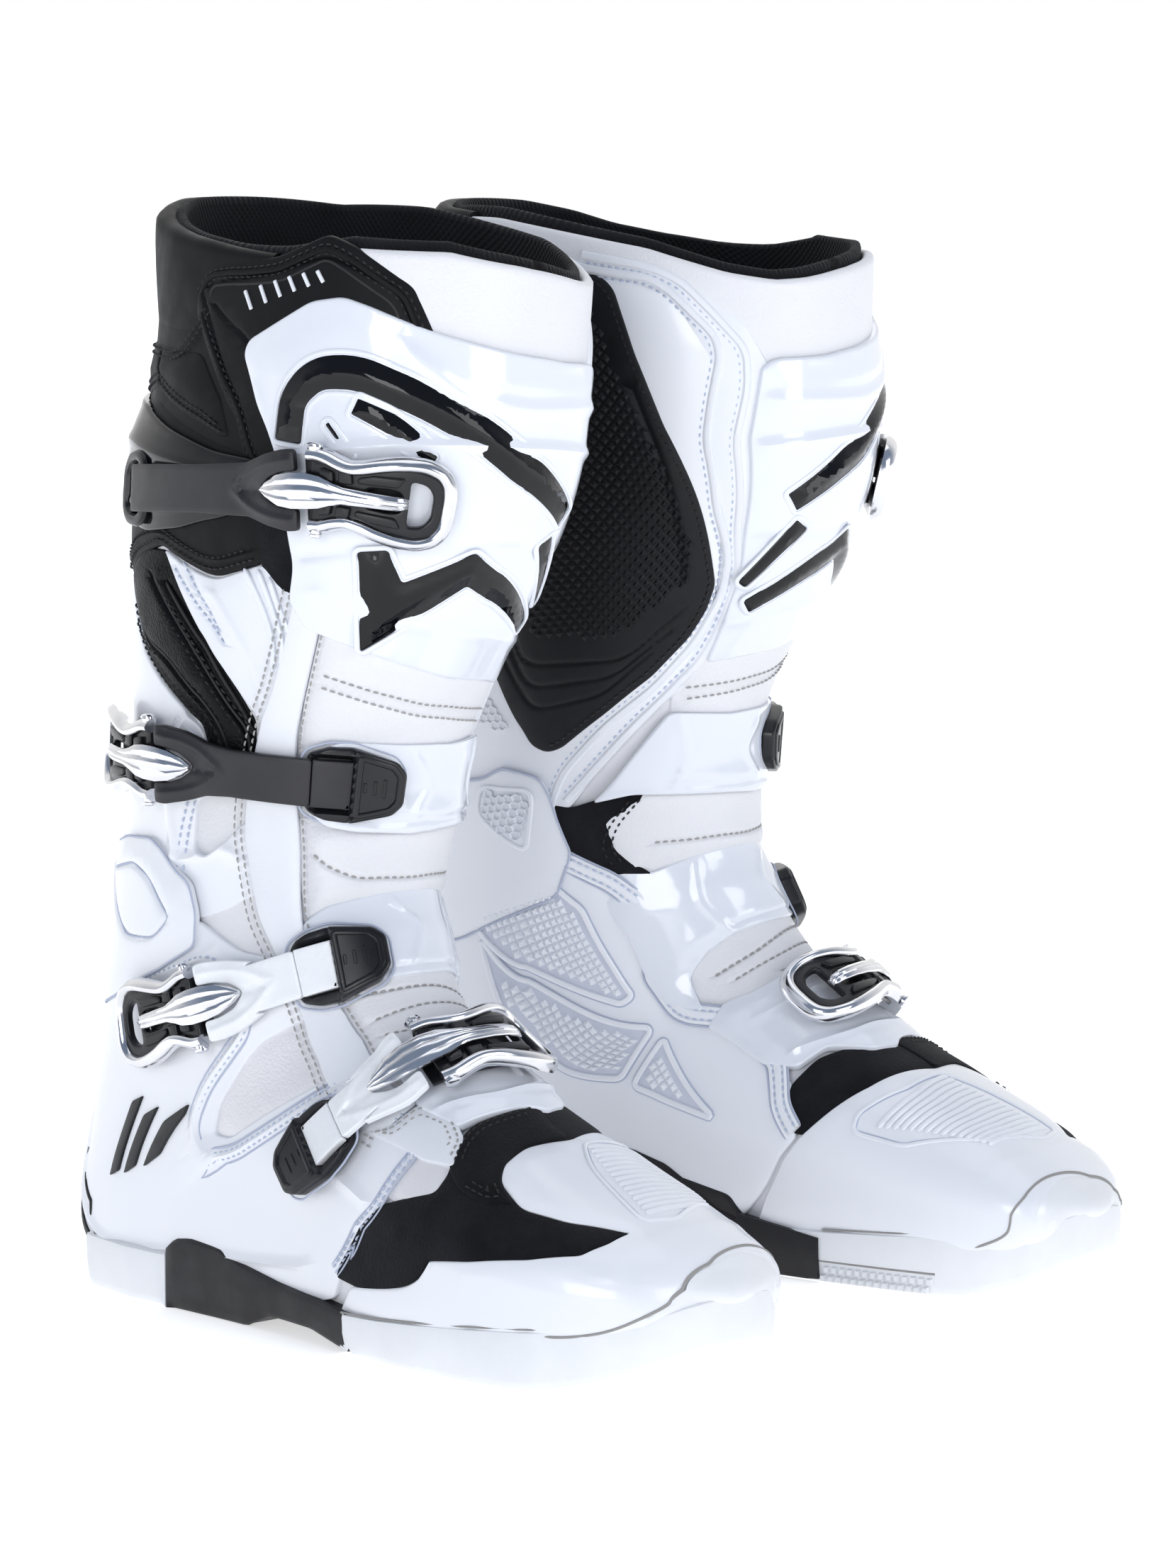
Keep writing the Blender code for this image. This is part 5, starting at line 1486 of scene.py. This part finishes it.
def build_lever(closure, route):
    p = route.pivot
    arm = [(-2.0, 12.8), (2.6, 12.7), (7.7, 10.7), (12, 9.7), (16.3, 10.5), (23, 12.6), (30, 14.1),
           (36, 14.3), (41.3, 12.2), (44.0, 8.4), (44.8, 4.0)]
    path = [(p + s, t) for s, t in arm] + [(p + s, -t) for s, t in reversed(arm)]
    emit(f"{closure}_lever_frame", frame_bar(route, path, 2.5, 7.9, 13.0), "metal", f"{closure}_lever",
         (f"{closure}_lever",), sharp=50)
    insert = [(-1.6, 11.2), (5.2, 10.2), (10.3, 8.2), (17.2, 9.0), (25.8, 11.4), (34.4, 12.4), (39.6, 10.8),
              (42.4, 6.8), (42.8, 0)]
    places = [(p + s, t) for s, t in insert] + [(p + s, -t) for s, t in reversed(insert[:-1])]
    places += [(p - 1.6, -3.6), (p + 1, -3.2), (p + 1, 3.2), (p - 1.6, 3.6)]
    window = [(p + 31.8, -8.2), (p + 37.0, -7.4), (p + 39.4, -4), (p + 39.4, 4), (p + 37.0, 7.4),
              (p + 31.8, 8.2)]
    pocket = [(p + 18, -3.4), (p + 26, -4.0), (p + 29.6, -3.2), (p + 29.6, 3.2), (p + 26, 4.0), (p + 18, 3.4)]
    solid = panel(route, places, 7.8, 10.4, edge=0.9, rounding=1.5, spacing=3.0, holes=[window, pocket])
    emit(f"{closure}_lever_ladder", solid, "black plastic", f"{closure}_lever")
    steps = []
    for s in (2.2, 8.6):
        for side in (-1, 1):
            steps.append(panel(route, [(p + s, 4.0 * side), (p + s + 4.8, 4.0 * side),
                                       (p + s + 4.4, 7.6 * side), (p + s, 8.4 * side)], 10.2, 12.3, edge=0.7,
                               rounding=0.8))
    for side in (-1, 1):
        steps.append(panel(route, [(p + 15, 4.8 * side), (p + 28, 5.4 * side), (p + 30, 9.0 * side),
                                   (p + 20, 8.4 * side), (p + 15, 6.8 * side)], 10.2, 12.0, edge=0.7,
                           rounding=1.0))
    emit(f"{closure}_lever_steps", joined(steps), "black plastic", f"{closure}_lever")
    rivets = []
    turns = np.linspace(0, 2 * math.pi, 20, endpoint=False)
    for side in (-1, 1):
        rings = []
        for reach, radius in ((12.4, 1.9), (15.2, 1.9), (15.4, 2.6), (16.2, 2.5), (16.7, 1.8), (16.85, 0.7)):
            xy = np.stack([p + radius * np.cos(turns), np.full(len(turns), reach * side)], -1)
            rings.append(route.at(xy, 10.0 + radius * np.sin(turns)))
        rivets.append(loft(rings))
    emit(f"{closure}_lever_rivets", joined(rivets), "metal", f"{closure}_lever")


def build_holder(closure, route, finish):
    """A six-sided strap anchor. The strap's root lies over its near half and goes into its slot."""
    rides = "cuff" if closure == "shin" else "feet"
    far, slot = -30.6, -11.0
    half_outline = [(far, 5.6), (far + 3.6, 9.6), (slot - 1, 13.6), (slot + 7, 13.2), (3.5, 10.5), (5.0, 6.5)]
    shape = half_outline + [(x, -y) for x, y in reversed(half_outline)]

    def top(xy):
        rail = 2.6 * smooth((np.abs(xy[:, 1]) - 9.0) / 1.6) * smooth((3.0 - xy[:, 0]) / 3.0)
        return 5.0 + np.maximum(rail, 4.6 * smooth((slot - 0.4 - xy[:, 0]) / 1.6))

    solid = panel(route, shape, 3.4, top, edge=1.0, rounding=1.6, spacing=1.8)
    emit(f"{closure}_anchor", solid, "black plastic", rides, (f"{closure}_strap_holder",))
    half_rim = [(far + 2.6, 4.4), (far + 5.2, 7.6), (slot - 3.4, 10.6)]
    rim = half_rim + [(x, -y) for x, y in reversed(half_rim)]
    ridge = bead(route, outline(route, rim, 1.2, 1.5), 1.0, 9.6, closed=True)
    emit(f"{closure}_anchor_rim", ridge, "black plastic", rides)
    # A thin cord in painted shade round the anchor: a painted shadow line.
    around = shifted(route, outline(route, shape, 2.0, 1.5), -1.6, closed=True)
    emit(f"{closure}_anchor_gap", bead(route, around, 0.45, 4.7, sides=6, closed=True), "shade", rides)
    notches = [panel(route, [(far + 7 + k * 3.2, -3.4 + 0.8 * k), (far + 8.2 + k * 3.2, -3.4 + 0.8 * k),
                             (far + 8.2 + k * 3.2, 3.4 - 0.8 * k), (far + 7 + k * 3.2, 3.4 - 0.8 * k)],
                     9.2, 10.0, edge=0.3, rounding=0.4) for k in range(3)]
    emit(f"{closure}_anchor_bars", joined(notches), "black plastic", rides)
    root = [(slot - 1.5, -8.6), (1.3, -8.6), (1.3, 8.6), (slot - 1.5, 8.6)]
    emit(f"{closure}_strap_root", panel(route, root, 5.4, 8.2, edge=0.5, rounding=0.3, spacing=2.5), finish,
         rides)


def build_closures():
    for closure, route in ROUTES.items():
        finish = "black strap" if closure in ("calf", "shin") else "white strap"
        build_strap(closure, route, finish)
        build_lever(closure, route)
        if closure != "calf":
            build_holder(closure, route, finish)


def dress_cad_nodes():
    """The CAD solids that stay get finished materials and softened edges."""
    for word in SIDES:
        for closure in CLOSURES:
            keep = frame["nodes"][f"{word}_{closure}_buckle_base"]
            keep.data.materials.clear()
            keep.data.materials.append(FINISHES["black plastic"][1])
            bevel = keep.modifiers.new("edges", "BEVEL")
            bevel.width, bevel.segments, bevel.limit_method = 0.0004, 2, "ANGLE"
        insole = frame["nodes"][f"{word}_insole"]
        insole.data.materials.clear()
        insole.data.materials.append(FINISHES["foam"][1])


# ---------------------------------------------------------------------------------------------------
# Stage


AZIMUTH, ELEVATION = math.radians(-49.59), math.radians(5.863)  # of the camera, seen from the boots
LOOK = (-math.sin(AZIMUTH) * math.cos(ELEVATION), math.cos(AZIMUTH) * math.cos(ELEVATION),
        -math.sin(ELEVATION))
DIM_SIDE = (0.20, 0.25, 0.34)  # the studio's colour on the camera's side
FLOOR_GLOW = (0.56, 0.95)  # near the boots and far from them
GLOW_REACH = (0.45, 1.6)  # metres from the middle at which those two hold
FLOOR_REACH = 80.0  # metres, so that the floor's edge meets the horizon
CAMERA_PLACE = (-1.52366, -1.29726, 0.3937)
FOCAL_LENGTH, SENSOR_WIDTH = 124.31, 36.0
LAMPS = {
    # name: (place, size, watts)
    "key": ((-2.3, -0.9, 0.7), 1.0, 16),
    "front": ((0.0, -2.5, 0.9), 1.2, 15),
    "top": ((0.1, 0.0, 2.2), 1.6, 8),
    "rear": ((1.6, 1.5, 1.3), 1.2, 3),
}


def floor_paper():
    """Pale paper that glows, and more so far from the boots."""
    floor_look = bpy.data.materials.new("floor_paper")
    floor_look.use_nodes = True
    shader = floor_look.node_tree.nodes["Principled BSDF"]
    shader.inputs["Base Color"].default_value = (0.93, 0.93, 0.93, 1)
    shader.inputs["Roughness"].default_value = 0.8
    shader.inputs["Specular IOR Level"].default_value = 0.1
    shader.inputs["Emission Color"].default_value = (1, 1, 1, 1)
    tree = floor_look.node_tree
    place_on = tree.nodes.new("ShaderNodeTexCoord")
    reach_of = tree.nodes.new("ShaderNodeVectorMath")
    reach_of.operation = "LENGTH"
    tree.links.new(place_on.outputs["Object"], reach_of.inputs[0])
    glow = tree.nodes.new("ShaderNodeMapRange")
    glow.inputs["From Min"].default_value, glow.inputs["From Max"].default_value = GLOW_REACH
    glow.inputs["To Min"].default_value, glow.inputs["To Max"].default_value = FLOOR_GLOW
    tree.links.new(reach_of.outputs["Value"], glow.inputs["Value"])
    tree.links.new(glow.outputs["Result"], shader.inputs["Emission Strength"])
    return floor_look


def build_floor():
    floor_mesh = bpy.data.meshes.new("floor")
    corners = [(x * FLOOR_REACH, y * FLOOR_REACH, 0) for x, y in ((-1, -1), (1, -1), (1, 1), (-1, 1))]
    floor_mesh.from_pydata(corners, [], [(0, 1, 2, 3)])
    floor_mesh.materials.append(floor_paper())
    floor = bpy.data.objects.new("floor", floor_mesh)
    bpy.context.scene.collection.objects.link(floor)


def build_lamps():
    middle = (CAD_BOX[0] + CAD_BOX[1]) / 2
    for name, (where, size, watts) in LAMPS.items():
        light = bpy.data.lights.new(name, "AREA")
        light.shape, light.size, light.energy = "SQUARE", size, watts
        lamp = bpy.data.objects.new(name, light)
        lamp.location = where
        lamp.rotation_mode = "QUATERNION"
        lamp.rotation_quaternion = (middle - Vector(where)).to_track_quat("-Z", "Y")
        bpy.context.scene.collection.objects.link(lamp)


def build_world():
    """A studio that is bright behind the boots and dim on the camera's side."""
    world = bpy.data.worlds.new("studio")
    world.use_nodes = True
    tree = world.node_tree
    way = tree.nodes.new("ShaderNodeTexCoord")
    ahead = tree.nodes.new("ShaderNodeVectorMath")
    ahead.operation = "DOT_PRODUCT"
    ahead.inputs[1].default_value = LOOK
    tree.links.new(way.outputs["Generated"], ahead.inputs[0])
    share = tree.nodes.new("ShaderNodeMapRange")
    share.inputs["From Min"].default_value, share.inputs["From Max"].default_value = -0.3, 0.6
    tree.links.new(ahead.outputs["Value"], share.inputs["Value"])
    ramp = tree.nodes.new("ShaderNodeValToRGB")
    ramp.color_ramp.elements[0].color = (*DIM_SIDE, 1)
    ramp.color_ramp.elements[1].color = (1, 1, 1, 1)
    tree.links.new(share.outputs["Result"], ramp.inputs["Fac"])
    tree.links.new(ramp.outputs["Color"], tree.nodes["Background"].inputs["Color"])
    bpy.context.scene.world = world


def build_camera():
    lens = bpy.data.cameras.new("camera")
    lens.lens, lens.sensor_width = FOCAL_LENGTH, SENSOR_WIDTH
    camera = bpy.data.objects.new("camera", lens)
    camera.location = CAMERA_PLACE
    camera.rotation_mode = "QUATERNION"
    camera.rotation_quaternion = Vector(LOOK).to_track_quat("-Z", "Y")
    bpy.context.scene.collection.objects.link(camera)
    bpy.context.scene.camera = camera
    bpy.context.scene.view_settings.view_transform = "Standard"


build_camera()
build_floor()
build_world()
build_lamps()
build_base()
build_collar()
build_side_panel()
build_rear()
build_calf_leather()
build_flank()
build_shin()
build_cuff_shell()
build_lower_shin()
build_medial_cuff()
build_bracket()
build_ankle()
build_chassis()
build_ankle_arm()
build_heel()
build_medial_foot()
build_tongue()
build_guards()
build_vamp()
build_toe()
build_sole()
build_sole_bands()
build_tread()
build_bumper()
build_closures()
dress_cad_nodes()
